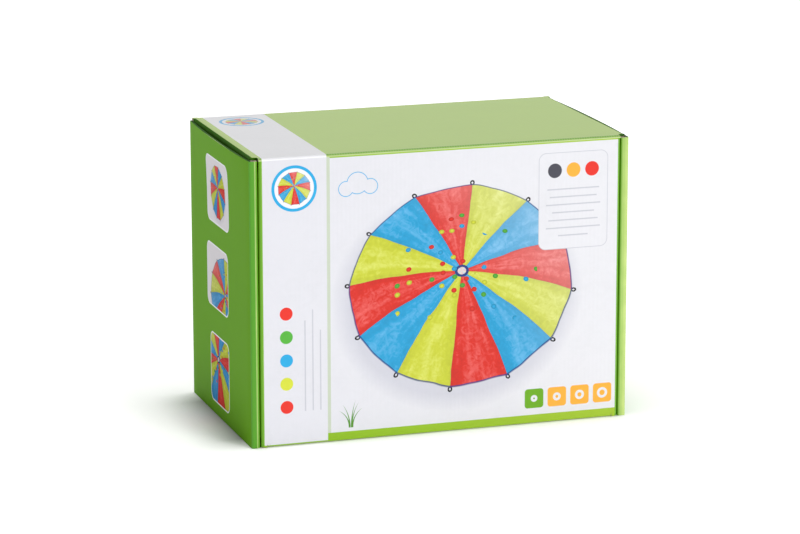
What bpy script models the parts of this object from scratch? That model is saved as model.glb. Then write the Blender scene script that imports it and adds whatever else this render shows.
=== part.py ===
"""A boxed play parachute.

A roll-end carton of thin corrugated board stands on its tuck edge, so its lid
faces the front and opens outwards about the top edge.  Inside lie the folded
parachute with twelve gores, its centre net, its twelve webbing handles and two
straps, eleven play balls and a leaflet.

Metres, +Z up, +X to the right, the lid faces -Y.  The origin is on the ground
under the middle of the carton.
"""
import math

import bmesh
import bpy
from mathutils import Matrix, Vector

MM = 0.001

# Outside of the carton
CARTON_WIDTH = 300.0 * MM
CARTON_DEPTH = 172.0 * MM
CARTON_HEIGHT = 221.0 * MM

# Board and folds
BOARD = 1.7 * MM
SEAT_GAP = 0.3 * MM
FOLD_RADIUS = 1.2 * MM
ROLL_SETBACK = 0.8 * MM
SIDE_TOP_DROP = 2.0 * MM
LID_SIDE_GAP = 1.6 * MM
LID_GROUND_GAP = 0.3 * MM
LID_CORNER_RADIUS = 2.0 * MM
CORNER_NOTCH_DEPTH = 5.5 * MM

# Dust flaps, inside the rolled side walls
DUST_FLAP_LENGTH = 86.0 * MM
DUST_FLAP_TAPER = 9.0 * MM
DUST_FLAP_END_GAP = 3.0 * MM
FLAP_CORNER_RADIUS = 6.0 * MM

# Lock tabs of the side returns and their slots in the back panel
TAB_WIDTH = 28.0 * MM
TAB_PITCH = 104.0 * MM
SLOT_CLEARANCE = 0.3 * MM

# Lid flaps
TUCK_FLAP_LENGTH = 32.0 * MM
TUCK_FLAP_SIDE_GAP = 5.0 * MM
TUCK_FLAP_TILT_DEG = 10.0
EAR_LENGTH = 34.0 * MM
EAR_END_GAP = 8.0 * MM
EAR_TAPER = 12.0 * MM

# Leaflet that stands behind the toy
LEAFLET_WIDTH = 148.0 * MM
LEAFLET_HEADROOM = 9.0 * MM
LEAFLET_THICKNESS = 0.9 * MM

# Folded parachute
GORE_COUNT = 12
PACK_SIDE_CLEARANCE = 4.0 * MM
PACK_FRONT_SPACE = 38.0 * MM
GORE_PITCH = 7.2 * MM
GORE_THICKNESS = 6.9 * MM
GORE_STAGGER = 1.2 * MM
PACK_CROWN = 4.8 * MM
PACK_CORNER_DRAW = 5.0 * MM
NET_STRAP_GAP = 10.0 * MM
NET_EDGE_INSET = 11.0 * MM
NET_THICKNESS = 1.3 * MM

# Webbing of the straps and the handles
WEBBING = 1.3 * MM
STRAP_WIDTH = 20.0 * MM
STRAP_INSET = 22.3 * MM
STRAP_CORNER_RADIUS = 5.0 * MM
HANDLE_WIDTH = 22.0 * MM
HANDLE_STRAP_GAP = 8.0 * MM
HANDLE_LENGTH = 27.0 * MM
HANDLE_DROOP = 9.0 * MM
HANDLE_SLIT = 0.8 * MM
HANDLE_COLUMNS = 6
LOWER_HANDLE_GORE = 4
UPPER_HANDLE_GORE = 9

# Play balls
BALL_DIAMETER = 60.0 * MM
LOWER_BALL_COLOURS = ("blue", "green", "red", "yellow", "red", "yellow", "blue", "green")
UPPER_BALL_COLOURS = ("yellow", "red", "blue")

# Facets
CORNER_STEPS = 4
PAD_COLUMNS = 10
PAD_ROWS = 6
WEBBING_STEPS = 7
BALL_SEGMENTS = 20
BALL_RINGS = 10

# Places worked out from the sizes above
HALF_WIDTH = CARTON_WIDTH / 2
HALF_DEPTH = CARTON_DEPTH / 2
LAYER = BOARD + SEAT_GAP
SIDE_THICKNESS = 3 * BOARD + 2 * SEAT_GAP
INNER_HALF_WIDTH = HALF_WIDTH - SIDE_THICKNESS
LID_HALF_WIDTH = INNER_HALF_WIDTH - LID_SIDE_GAP
WALL_HALF_WIDTH = HALF_WIDTH - LAYER
FLOOR = LAYER
CEILING = CARTON_HEIGHT - LAYER
FRONT_INSIDE = LAYER - HALF_DEPTH
BACK_INSIDE = HALF_DEPTH - LAYER
ROLL_FRONT = ROLL_SETBACK - HALF_DEPTH
ROLL_BACK = ROLL_FRONT + BOARD
TUCK_HINGE = Vector((0, BOARD - HALF_DEPTH, FLOOR))
LID_HINGE = Vector((0, -HALF_DEPTH, CARTON_HEIGHT))

LEAFLET_TOP = CEILING - LEAFLET_HEADROOM
LEAFLET_FRONT = BACK_INSIDE - LEAFLET_THICKNESS
STRAP_BACK = LEAFLET_FRONT - SEAT_GAP
PACK_BACK = STRAP_BACK - WEBBING - SEAT_GAP
PACK_FRONT = PACK_FRONT_SPACE - HALF_DEPTH + BOARD
PACK_MIDDLE = (PACK_FRONT + PACK_BACK) / 2
PACK_HALF_DEPTH = (PACK_BACK - PACK_FRONT) / 2
PACK_HALF_WIDTH = INNER_HALF_WIDTH - PACK_SIDE_CLEARANCE
PACK_BASE = FLOOR + WEBBING + SEAT_GAP
STRAP_OFFSET = PACK_HALF_WIDTH - STRAP_INSET
STRAP_INNER_EDGE = STRAP_OFFSET - STRAP_WIDTH / 2
NET_HALF_WIDTH = STRAP_INNER_EDGE - NET_STRAP_GAP
NET_HALF_DEPTH = PACK_HALF_DEPTH - NET_EDGE_INSET
HANDLE_SPREAD = 2 * (STRAP_INNER_EDGE - HANDLE_STRAP_GAP) - HANDLE_WIDTH
HANDLE_PITCH = HANDLE_SPREAD / (HANDLE_COLUMNS - 1)
BALL_RADIUS = BALL_DIAMETER / 2
BALL_STEP = BALL_DIAMETER + SEAT_GAP
BALL_COLUMNS = int(2 * PACK_HALF_WIDTH / BALL_STEP)
BALL_ROWS = int(2 * PACK_HALF_DEPTH / BALL_STEP)
FACET_SAG = BALL_RADIUS * (1 - math.cos(math.pi / BALL_SEGMENTS)) * 3 / 2

# Colours: linear red, green, blue, with roughness
COLOURS = {
    "board_green": ((0.16, 0.43, 0.03), 0.5),
    "board_white": ((0.80, 0.80, 0.83), 0.5),
    "paper": ((0.85, 0.85, 0.83), 0.7),
    "cloth_red": ((0.80, 0.06, 0.04), 0.8),
    "cloth_yellow": ((0.78, 0.72, 0.05), 0.8),
    "cloth_blue": ((0.03, 0.28, 0.68), 0.8),
    "net": ((0.02, 0.03, 0.10), 0.9),
    "webbing": ((0.01, 0.01, 0.012), 0.9),
    "ball_red": ((0.75, 0.03, 0.03), 0.35),
    "ball_yellow": ((0.85, 0.62, 0.02), 0.35),
    "ball_blue": ((0.02, 0.17, 0.62), 0.35),
    "ball_green": ((0.05, 0.42, 0.05), 0.35),
}


def clear_scene():
    """Remove what a new Blender file starts with."""
    for thing in list(bpy.data.objects):
        bpy.data.objects.remove(thing, do_unlink=True)


def collection(name):
    """Add a collection to the scene."""
    made = bpy.data.collections.new(name)
    bpy.context.scene.collection.children.link(made)
    return made


def material(name):
    """Return a Principled material from the colour table, made once."""
    made = bpy.data.materials.get(name)
    if made:
        return made
    colour, roughness = COLOURS[name]
    made = bpy.data.materials.new(name)
    made.use_nodes = True
    shader = made.node_tree.nodes["Principled BSDF"]
    shader.inputs["Base Color"].default_value = (*colour, 1)
    shader.inputs["Roughness"].default_value = roughness
    shader.inputs["Metallic"].default_value = 0
    made.diffuse_color = (*colour, 1)
    return made


def place(name, data, finish, matrix, parent=None):
    """Link an object to the parts, at a place in the world or on a parent."""
    thing = bpy.data.objects.new(name, data)
    data.materials.append(material(finish))
    PARTS.objects.link(thing)
    if parent:
        thing.parent = parent
        thing.matrix_basis = parent.matrix_world.inverted() @ matrix
    else:
        thing.matrix_basis = matrix
    return thing


def pivot(name, location, parent=None):
    """Add an empty on a joint's axis."""
    thing = bpy.data.objects.new(name, None)
    thing.empty_display_size = FLAP_CORNER_RADIUS
    PARTS.objects.link(thing)
    if parent:
        thing.parent = parent
        thing.location = location - parent.matrix_world.translation
    else:
        thing.location = location
    bpy.context.view_layer.update()
    return thing


def mesh_from(bm, name, smooth=False):
    """Turn a bmesh into mesh data with its faces pointing out."""
    bmesh.ops.recalc_face_normals(bm, faces=bm.faces)
    data = bpy.data.meshes.new(name)
    bm.to_mesh(data)
    bm.free()
    if smooth:
        data.shade_smooth()
    return data


def rounded(corners, radii):
    """Outline points of a polygon whose corners are arcs of the given radii."""
    points = []
    count = len(corners)
    for index, radius in enumerate(radii):
        here = Vector(corners[index])
        before = (Vector(corners[index - 1]) - here).normalized()
        after = (Vector(corners[(index + 1) % count]) - here).normalized()
        if not radius:
            points.append(here)
            continue
        half = before.angle(after) / 2
        centre = here + (before + after).normalized() * radius / math.sin(half)
        first = here + before * radius / math.tan(half) - centre
        last = here + after * radius / math.tan(half) - centre
        sweep = math.atan2(first.cross(last), first.dot(last))
        for step in range(CORNER_STEPS + 1):
            turn = Matrix.Rotation(sweep * step / CORNER_STEPS, 2)
            points.append(centre + turn @ first)
    return points


def rectangle(low, high):
    """The four corners of a rectangle in an outline's plane."""
    return [(low[0], low[1]), (high[0], low[1]), (high[0], high[1]), (low[0], high[1])]


def plate(name, outlines, thickness, matrix, finish, parent=None):
    """A flat plate from an outline and the outlines of its holes."""
    data = bpy.data.curves.new(name, "CURVE")
    data.dimensions = "2D"
    data.fill_mode = "BOTH"
    data.extrude = thickness / 2
    for outline in outlines:
        spline = data.splines.new("POLY")
        spline.points.add(len(outline) - 1)
        for point, (along, across) in zip(spline.points, outline):
            point.co = (along, across, 0, 1)
        spline.use_cyclic_u = True
    return place(name, data, finish, matrix, parent)


def facing_front(location):
    """Outline x to world X and outline y to world Z."""
    return Matrix.Translation(location) @ Matrix.Rotation(math.pi / 2, 4, "X")


def facing_side(location):
    """Outline x to world Y and outline y to world Z."""
    turn = Matrix.Rotation(math.pi / 2, 4, "Z") @ Matrix.Rotation(math.pi / 2, 4, "X")
    return Matrix.Translation(location) @ turn


def back_panel():
    """The carton's base, which is its back as it stands, with four tab slots."""
    low = (-WALL_HALF_WIDTH, FLOOR)
    high = (WALL_HALF_WIDTH, CEILING)
    outlines = [rectangle(low, high)]
    slot_inner = INNER_HALF_WIDTH - SLOT_CLEARANCE
    slot_outer = INNER_HALF_WIDTH + BOARD + SLOT_CLEARANCE
    half_slot = TAB_WIDTH / 2 + SLOT_CLEARANCE
    for side in (-1, 1):
        for middle in tab_heights():
            edges = sorted((side * slot_inner, side * slot_outer))
            outlines.append(rectangle((edges[0], middle - half_slot), (edges[1], middle + half_slot)))
    plate("back_panel", outlines, BOARD, facing_front((0, HALF_DEPTH - BOARD / 2, 0)), "board_green")


def tab_heights():
    """Heights of the middles of the two lock tabs on each side."""
    middle = CARTON_HEIGHT / 2
    return (middle - TAB_PITCH / 2, middle + TAB_PITCH / 2)


def notched_wall(name, front, notch, height):
    """A level wall whose front corners are cut back beside the lid."""
    right = [(LID_HALF_WIDTH, front), (LID_HALF_WIDTH, notch), (WALL_HALF_WIDTH, notch)]
    right.append((WALL_HALF_WIDTH, HALF_DEPTH))
    outline = right + [(-x, y) for x, y in reversed(right)]
    plate(name, [outline], BOARD, Matrix.Translation((0, 0, height)), "board_green")


def level_walls():
    """The wall that carries the lid, and the one that the carton stands on."""
    notch = CORNER_NOTCH_DEPTH - HALF_DEPTH
    notched_wall("top_wall", -HALF_DEPTH, notch, CARTON_HEIGHT - BOARD / 2)
    notched_wall("bottom_wall", FRONT_INSIDE, notch, BOARD / 2)


def side_wall(side, word):
    """An outer side panel, with the strip rolled over its front edge."""
    top = CARTON_HEIGHT - SIDE_TOP_DROP
    outline = rounded(
        rectangle((ROLL_BACK + SEAT_GAP, 0), (HALF_DEPTH, top)),
        (FOLD_RADIUS, 0, 0, FOLD_RADIUS),
    )
    middle = side * (HALF_WIDTH - BOARD / 2)
    plate(f"side_wall_{word}", [outline], BOARD, facing_side((middle, 0, 0)), "board_green")

    edges = sorted((side * HALF_WIDTH, side * INNER_HALF_WIDTH))
    strip = rounded(
        rectangle((edges[0], ROLL_FRONT), (edges[1], ROLL_BACK)),
        (FOLD_RADIUS, FOLD_RADIUS, 0, 0),
    )
    place_up = Matrix.Translation((0, 0, top / 2))
    plate(f"side_roll_{word}", [strip], top, place_up, "board_green")


def side_return(side, word):
    """The side's inner layer, whose two tabs lock into the back panel."""
    front = ROLL_BACK + SEAT_GAP
    half_tab = TAB_WIDTH / 2
    outline = [(front, FLOOR), (BACK_INSIDE, FLOOR)]
    for middle in tab_heights():
        outline += [(BACK_INSIDE, middle - half_tab), (HALF_DEPTH, middle - half_tab)]
        outline += [(HALF_DEPTH, middle + half_tab), (BACK_INSIDE, middle + half_tab)]
    outline += [(BACK_INSIDE, CEILING), (front, CEILING)]
    middle = side * (INNER_HALF_WIDTH + BOARD / 2)
    plate(f"side_return_{word}", [outline], BOARD, facing_side((middle, 0, 0)), "board_white")


def dust_flap(side, word, level, root, direction):
    """A flap of the top or bottom wall, between the two layers of a side."""
    front = ROLL_BACK + SEAT_GAP + DUST_FLAP_END_GAP
    back = BACK_INSIDE - DUST_FLAP_END_GAP
    tip = root + direction * DUST_FLAP_LENGTH
    corners = [(front, root), (back, root), (back - DUST_FLAP_TAPER, tip), (front + DUST_FLAP_TAPER, tip)]
    outline = rounded(corners, (0, 0, FLAP_CORNER_RADIUS, FLAP_CORNER_RADIUS))
    middle = side * (HALF_WIDTH - LAYER - BOARD / 2)
    plate(f"{level}_dust_flap_{word}", [outline], BOARD, facing_side((middle, 0, 0)), "board_green")


def lid():
    """The lid on its top edge, with the tuck flap and the two side ears."""
    hinge = pivot("lid_hinge", LID_HINGE)
    corners = rectangle((-LID_HALF_WIDTH, LID_GROUND_GAP), (LID_HALF_WIDTH, CEILING))
    outline = rounded(corners, (LID_CORNER_RADIUS, LID_CORNER_RADIUS, 0, 0))
    place_lid = facing_front((0, BOARD / 2 - HALF_DEPTH, 0))
    plate("lid_panel", [outline], BOARD, place_lid, "board_white", hinge)

    tuck_hinge = pivot("tuck_hinge", TUCK_HINGE, hinge)
    half = LID_HALF_WIDTH - TUCK_FLAP_SIDE_GAP
    corners = rectangle((-half, SEAT_GAP), (half, TUCK_FLAP_LENGTH))
    outline = rounded(corners, (0, 0, FLAP_CORNER_RADIUS, FLAP_CORNER_RADIUS))
    tilt = Matrix.Rotation(math.radians(TUCK_FLAP_TILT_DEG), 4, "X")
    lift = Matrix.Translation((0, 0, BOARD / 2))
    place_tuck = Matrix.Translation(TUCK_HINGE) @ tilt @ lift
    plate("lid_tuck_flap", [outline], BOARD, place_tuck, "board_green", tuck_hinge)

    for side, word in ((-1, "left"), (1, "right")):
        location = Vector((side * (LID_HALF_WIDTH - BOARD), BOARD - HALF_DEPTH, 0))
        ear_hinge = pivot(f"ear_hinge_{word}", location, hinge)
        root = location.y + SEAT_GAP
        tip = location.y + EAR_LENGTH
        low = EAR_END_GAP
        high = CARTON_HEIGHT - EAR_END_GAP
        corners = [(root, low), (tip, low + EAR_TAPER), (tip, high - EAR_TAPER), (root, high)]
        outline = rounded(corners, (0, FLAP_CORNER_RADIUS, FLAP_CORNER_RADIUS, 0))
        middle = side * (LID_HALF_WIDTH - BOARD / 2)
        plate(f"lid_ear_{word}", [outline], BOARD, facing_side((middle, 0, 0)), "board_green", ear_hinge)


def crown(x, y, half_width=PACK_HALF_WIDTH, half_depth=PACK_HALF_DEPTH):
    """How far the whole pack bulges upwards at a place, as cloth does."""
    across = max(0, 1 - (x / half_width) ** 4)
    deep = max(0, 1 - ((y - PACK_MIDDLE) / half_depth) ** 4)
    return PACK_CROWN * across * deep


def pack_top(x, y):
    """Height of the uppermost gore's top surface."""
    gap = GORE_PITCH - GORE_THICKNESS
    return PACK_BASE + GORE_COUNT * GORE_PITCH - gap + crown(x, y)


def net_top(x, y):
    """Height of the centre net's top surface, which the balls lie on."""
    return pack_top(x, y) + SEAT_GAP + NET_THICKNESS


def cloth_pad(name, half_width, half_depth, thickness, height, finish):
    """A folded layer of cloth that follows a height function, with round edges."""
    bm = bmesh.new()
    bmesh.ops.create_grid(bm, x_segments=PAD_COLUMNS, y_segments=PAD_ROWS, size=1)
    for vert in bm.verts:
        u, v = vert.co.x, vert.co.y
        draw = PACK_CORNER_DRAW * (u * v) ** 4
        x = u * half_width - math.copysign(draw, u)
        y = v * half_depth - math.copysign(draw, v) + PACK_MIDDLE
        vert.co = (x, y, height(x, y))
    thing = place(name, mesh_from(bm, name), finish, Matrix.Identity(4))
    solid = thing.modifiers.new("Thickness", "SOLIDIFY")
    solid.thickness = thickness
    solid.offset = 0
    edge = thing.modifiers.new("Rolled edge", "BEVEL")
    edge.width = thickness * 2 / 5
    edge.segments = 2
    edge.limit_method = "ANGLE"
    edge.angle_limit = math.radians(60)


def parachute():
    """Twelve folded gores in turn red, yellow and blue, and the centre net."""
    for index in range(GORE_COUNT):
        middle = PACK_BASE + index * GORE_PITCH + GORE_THICKNESS / 2
        lift = (index + 1) / GORE_COUNT
        trim = GORE_STAGGER * (1 + math.cos(index * 2)) / 2
        cloth_pad(
            f"gore_{index + 1:02d}",
            PACK_HALF_WIDTH - trim,
            PACK_HALF_DEPTH - (trim if index + 1 not in (LOWER_HANDLE_GORE, UPPER_HANDLE_GORE) else 0),
            GORE_THICKNESS,
            lambda x, y: middle + crown(x, y) * lift,
            ("cloth_red", "cloth_yellow", "cloth_blue")[index % 3],
        )
    cloth_pad(
        "centre_net",
        NET_HALF_WIDTH,
        NET_HALF_DEPTH,
        NET_THICKNESS,
        lambda x, y: net_top(x, y) - NET_THICKNESS / 2,
        "net",
    )


def webbing(name, path, closed, width, middle, finish="webbing"):
    """A band of webbing along a path in the Y-Z plane, centred at an x."""
    bm = bmesh.new()
    verts = [bm.verts.new((middle - width / 2, y, z)) for y, z in path]
    edges = [bm.edges.new(pair) for pair in zip(verts, verts[1:])]
    if closed:
        edges.append(bm.edges.new((verts[-1], verts[0])))
    swept = bmesh.ops.extrude_edge_only(bm, edges=edges)["geom"]
    moved = [item for item in swept if isinstance(item, bmesh.types.BMVert)]
    bmesh.ops.translate(bm, verts=moved, vec=(width, 0, 0))
    thing = place(name, mesh_from(bm, name), finish, Matrix.Identity(4))
    solid = thing.modifiers.new("Thickness", "SOLIDIFY")
    solid.thickness = WEBBING
    solid.offset = 0
    solid.use_even_offset = True


def straps():
    """Two straps round the pack, which keep it folded."""
    half = WEBBING / 2
    bottom = FLOOR + half
    front = PACK_FRONT - SEAT_GAP - half
    back = PACK_BACK + SEAT_GAP + half
    top = net_top(STRAP_INNER_EDGE, PACK_MIDDLE) + SEAT_GAP + half
    corners = [(front, bottom), (back, bottom), (back, top), (front, top)]
    path = rounded(corners, [STRAP_CORNER_RADIUS / 4] * 2 + [STRAP_CORNER_RADIUS] * 2)
    for side, word in ((-1, "left"), (1, "right")):
        webbing(f"strap_{word}", path, True, STRAP_WIDTH, side * STRAP_OFFSET)


def handle_path(root_height):
    """A doubled band that leaves the pack's front and droops to a round end."""
    half = (HANDLE_SLIT + WEBBING) / 2
    spine = []
    for step in range(WEBBING_STEPS + 1):
        share = step / WEBBING_STEPS
        y = PACK_FRONT - SEAT_GAP - HANDLE_LENGTH * share
        spine.append(Vector((y, root_height - HANDLE_DROOP * share ** 2)))
    upper, lower = [], []
    for index, point in enumerate(spine):
        ahead = spine[min(index + 1, WEBBING_STEPS)]
        behind = spine[max(index - 1, 0)]
        normal = (ahead - behind).orthogonal().normalized()
        if normal.y < 0:
            normal.negate()
        upper.append(point + normal * half)
        lower.append(point - normal * half)
    tip = spine[-1]
    start = upper[-1] - tip
    bend = []
    for step in range(1, CORNER_STEPS):
        bend.append(tip + Matrix.Rotation(math.pi * step / CORNER_STEPS, 2) @ start)
    return upper + bend + lower[::-1]


def handles():
    """Twelve webbing handles in two rows at the front of the pack."""
    number = 1
    for gore in (LOWER_HANDLE_GORE, UPPER_HANDLE_GORE):
        height = PACK_BASE + (gore - 1) * GORE_PITCH + GORE_THICKNESS / 2
        for column in range(HANDLE_COLUMNS):
            middle = (column - (HANDLE_COLUMNS - 1) / 2) * HANDLE_PITCH
            webbing(f"handle_{number:02d}", handle_path(height), False, HANDLE_WIDTH, middle)
            number += 1


def ball(name, centre, colour):
    """One play ball."""
    bm = bmesh.new()
    bmesh.ops.create_uvsphere(bm, u_segments=BALL_SEGMENTS, v_segments=BALL_RINGS, radius=BALL_RADIUS)
    place(name, mesh_from(bm, name, True), f"ball_{colour}", Matrix.Translation(centre))


def balls():
    """A lower layer of balls on the net, and an upper one in its hollows."""
    counts = {}
    lower = []

    def add(centre, colour):
        counts[colour] = counts.get(colour, 0) + 1
        ball(f"ball_{colour}_{counts[colour]}", centre, colour)

    for row in range(BALL_ROWS):
        y = PACK_BACK - BALL_RADIUS - row * BALL_STEP
        for column in range(BALL_COLUMNS):
            x = (column - (BALL_COLUMNS - 1) / 2) * BALL_STEP
            centre = Vector((x, y, net_top(0, PACK_MIDDLE) + SEAT_GAP + BALL_RADIUS))
            lower.append(centre)
            add(centre, LOWER_BALL_COLOURS[len(lower) % len(LOWER_BALL_COLOURS) - 1])

    reach = BALL_STEP - 2 * FACET_SAG
    height = lower[0].z + math.sqrt(reach ** 2 - 2 * (BALL_STEP / 2) ** 2)
    hollows = BALL_COLUMNS - 1 if height + BALL_RADIUS < CEILING else 0
    for column in range(hollows):
        x = (column - (hollows - 1) / 2) * BALL_STEP
        y = PACK_BACK - BALL_RADIUS - BALL_STEP / 2
        add(Vector((x, y, height)), UPPER_BALL_COLOURS[column % len(UPPER_BALL_COLOURS)])


def leaflet():
    """A folded sheet that stands against the back panel."""
    low = (-LEAFLET_WIDTH / 2, FLOOR)
    high = (LEAFLET_WIDTH / 2, LEAFLET_TOP)
    middle = BACK_INSIDE - LEAFLET_THICKNESS / 2
    plate("leaflet", [rectangle(low, high)], LEAFLET_THICKNESS, facing_front((0, middle, 0)), "paper")


clear_scene()
PARTS = collection("boxed_play_parachute")
back_panel()
level_walls()
for sign, hand in ((-1, "left"), (1, "right")):
    side_wall(sign, hand)
    side_return(sign, hand)
    dust_flap(sign, hand, "top", CEILING, -1)
    dust_flap(sign, hand, "bottom", FLOOR, 1)
lid()
leaflet()
parachute()
straps()
handles()
balls()
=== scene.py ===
# %% [markdown]
# # A boxed play parachute
#
# The object is a shop carton that stands on its long edge: a roll-end mailer of
# thin corrugated board, printed green and white, with its lid to the front.
# Inside lie the folded parachute, its balls and a leaflet.  This notebook dresses
# the measured solids of the carton and the toy: each cell adds one piece or one
# finish.

# %% Load the measured solids
import math

import bmesh
import bpy
import numpy as np
from mathutils import Matrix, Vector, noise


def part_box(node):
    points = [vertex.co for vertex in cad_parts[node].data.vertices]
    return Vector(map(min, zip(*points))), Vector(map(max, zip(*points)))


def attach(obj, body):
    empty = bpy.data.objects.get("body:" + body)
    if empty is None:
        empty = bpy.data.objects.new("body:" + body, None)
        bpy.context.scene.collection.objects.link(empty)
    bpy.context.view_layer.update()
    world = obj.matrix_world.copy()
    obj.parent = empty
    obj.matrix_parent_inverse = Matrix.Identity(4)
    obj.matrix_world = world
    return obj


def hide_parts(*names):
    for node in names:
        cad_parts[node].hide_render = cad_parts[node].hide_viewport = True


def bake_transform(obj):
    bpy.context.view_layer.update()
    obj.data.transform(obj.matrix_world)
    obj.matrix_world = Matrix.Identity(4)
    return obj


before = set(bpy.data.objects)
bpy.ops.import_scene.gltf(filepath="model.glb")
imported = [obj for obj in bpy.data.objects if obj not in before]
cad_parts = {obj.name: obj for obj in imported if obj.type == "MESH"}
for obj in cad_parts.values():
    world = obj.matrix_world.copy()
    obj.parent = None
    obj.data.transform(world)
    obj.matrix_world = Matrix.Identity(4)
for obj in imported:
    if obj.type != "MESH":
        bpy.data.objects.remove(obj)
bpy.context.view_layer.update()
print("solids:", len(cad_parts))

# %% [markdown]
# ## Sizes
#
# The main sizes below are read from the solids, so the dressed pieces land on the
# solids that they replace; the gap, the fold, the lean and the nearness of points are
# set here.  The lid gives the front plane and the board's thickness, the walls give
# the outside of the carton.

# %% Sizes read from the solids
MM = 0.001

lid_low, lid_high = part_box("lid_panel")
top_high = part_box("top_wall")[1]
back_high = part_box("back_panel")[1]
left_low, left_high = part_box("side_wall_left")
roll_low, roll_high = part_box("side_roll_left")
flap_low, flap_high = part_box("top_dust_flap_left")

BOARD = lid_high[1] - lid_low[1]
FRONT = lid_low[1]
BACK = back_high[1]
TOP = top_high[2]
HALF_WIDTH = -left_low[0]
LID_HALF = lid_high[0]
SIDE_TOP = left_high[2]
ROLL_FRONT = roll_low[1]
ROLL_INSIDE = -roll_high[0]
WALL_HALF = top_high[0]
GAP = 0.3 * MM
LAYER = BOARD + GAP
FOLD = 2.0 * MM
LEAN = 2.3 * MM
NEAR = 0.05 * MM
print("board", round(BOARD / MM, 2), "mm; lid half width", round(LID_HALF / MM, 1), "mm")

# %% [markdown]
# ## The camera
#
# The camera stands well back with a long lens, a little above the carton and to
# its left, so it sees the lid, the left end and the top.  Its direction is written
# as the way it looks and the way that is up for it.

# %% Camera
CAMERA_PLACE = Vector((-0.8217, -2.5068, 0.7312))
CAMERA_LOOK = Vector((0.3013, 0.9255, -0.2293)).normalized()
CAMERA_UP = Vector((0.0721, 0.2177, 0.9734))
LENS_MM = 157.0
SENSOR_MM = 36.0

camera_data = bpy.data.cameras.new("camera")
camera_data.lens = LENS_MM
camera_data.sensor_width = SENSOR_MM
camera_data.clip_end = 50
camera = bpy.data.objects.new("camera", camera_data)
bpy.context.scene.collection.objects.link(camera)
backwards = -CAMERA_LOOK
rightwards = CAMERA_LOOK.cross(CAMERA_UP).normalized()
upwards = backwards.cross(rightwards)
turn = Matrix((rightwards, upwards, backwards)).transposed()
camera.matrix_world = Matrix.Translation(CAMERA_PLACE) @ turn.to_4x4()
bpy.context.scene.camera = camera
print("camera", round(CAMERA_PLACE.length, 2), "m from the carton, with a lens of", LENS_MM, "mm")

# %% [markdown]
# ## Helpers for modelling by hand
#
# In Blender one selects some edges and presses a key.  A script does the same: it
# enters edit mode, selects by place, and calls the operator behind the key.  The
# helpers below do the selecting, so the later cells read like a list of moves.


# %% Select and edit
def choose(piece):
    """Select one piece alone and make it active."""
    bpy.ops.object.select_all(action="DESELECT")
    bpy.context.view_layer.objects.active = piece
    piece.select_set(True)


def edit(piece):
    """Enter edit mode on one piece, with nothing selected."""
    choose(piece)
    bpy.ops.object.mode_set(mode="EDIT")
    bpy.ops.mesh.select_mode(type="EDGE")
    bpy.ops.mesh.select_all(action="DESELECT")


def leave():
    """Go back to object mode."""
    bpy.ops.object.mode_set(mode="OBJECT")


def pick(kind, test, every=False):
    """Select the verts, edges or faces whose middle, or whose every corner, passes a test."""
    bpy.ops.mesh.select_mode(type=kind)
    bpy.ops.mesh.select_all(action="DESELECT")
    mesh = bpy.context.edit_object.data
    bm = bmesh.from_edit_mesh(mesh)
    items = {"VERT": bm.verts, "EDGE": bm.edges, "FACE": bm.faces}[kind]
    count = 0
    for item in items:
        corners = [item.co] if kind == "VERT" else [vert.co for vert in item.verts]
        places = corners if every else [sum(corners, Vector()) / len(corners)]
        if all(test(place) for place in places):
            item.select_set(True)
            count += 1
    bm.select_flush_mode()
    bmesh.update_edit_mesh(mesh)
    return count


def pick_edge_at(place):
    """Select the edge whose middle is at a place."""
    return pick("EDGE", lambda middle: (middle - place).length < NEAR)


print("points count as one place when they are closer than", NEAR / MM, "mm")

# %% [markdown]
# The moves on a sheet are few: extrude what is selected, cut through with a plane,
# and turn its faces outwards.  A panel is Blender's own plane, stretched to a run
# and a rise, whose place is then applied to its mesh.


# %% Moves on a sheet
def extrude(step):
    """Extrude the selection by a step."""
    bpy.ops.mesh.extrude_region_move(TRANSFORM_OT_translate={"value": tuple(step)})


def cut(point, normal):
    """Cut through the whole piece with a plane, and keep both halves."""
    bpy.ops.mesh.select_all(action="SELECT")
    bpy.ops.mesh.bisect(plane_co=tuple(point), plane_no=tuple(normal), threshold=NEAR / 50)


def panel(name, corner, along, rise):
    """Add a flat panel: a corner of it, its run and its rise."""
    bpy.ops.object.select_all(action="DESELECT")
    bpy.ops.mesh.primitive_plane_add(size=1)
    piece = bpy.context.object
    piece.name = name
    piece.data.name = name
    along, rise = Vector(along), Vector(rise)
    normal = along.cross(rise).normalized()
    basis = Matrix((along, rise, normal)).transposed().to_4x4()
    middle = Vector(corner) + along / 2 + rise / 2
    piece.matrix_world = Matrix.Translation(middle) @ basis
    bpy.ops.object.transform_apply(location=True, rotation=True, scale=True)
    return piece


def face_out(place, direction):
    """Flip the sheet in edit mode if its face nearest a place looks the wrong way."""
    bm = bmesh.from_edit_mesh(bpy.context.edit_object.data)
    face = min(bm.faces, key=lambda f: (f.calc_center_median() - Vector(place)).length)
    if face.normal.dot(Vector(direction)) < 0:
        bpy.ops.mesh.select_all(action="SELECT")
        bpy.ops.mesh.flip_normals()


def copy_of(pattern, name):
    """A copy of a pattern piece, with a mesh of its own."""
    made = pattern.copy()
    made.data = pattern.data.copy()
    made.name = name
    bpy.context.collection.objects.link(made)
    return made


# %% [markdown]
# A sheet becomes a piece with three last steps.  Solidify is the modifier for sheet
# goods: it gives a surface its thickness inwards and closes the rim.  Then round
# parts are shaded smooth, and the materials go into the piece's slots.


# %% Thickness, shading and materials
def apply(piece, kind, **settings):
    """Add a modifier with its settings and apply it."""
    modifier = piece.modifiers.new(kind.title(), kind)
    for key, value in settings.items():
        setattr(modifier, key, value)
    choose(piece)
    bpy.ops.object.modifier_apply(modifier=modifier.name)


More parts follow.
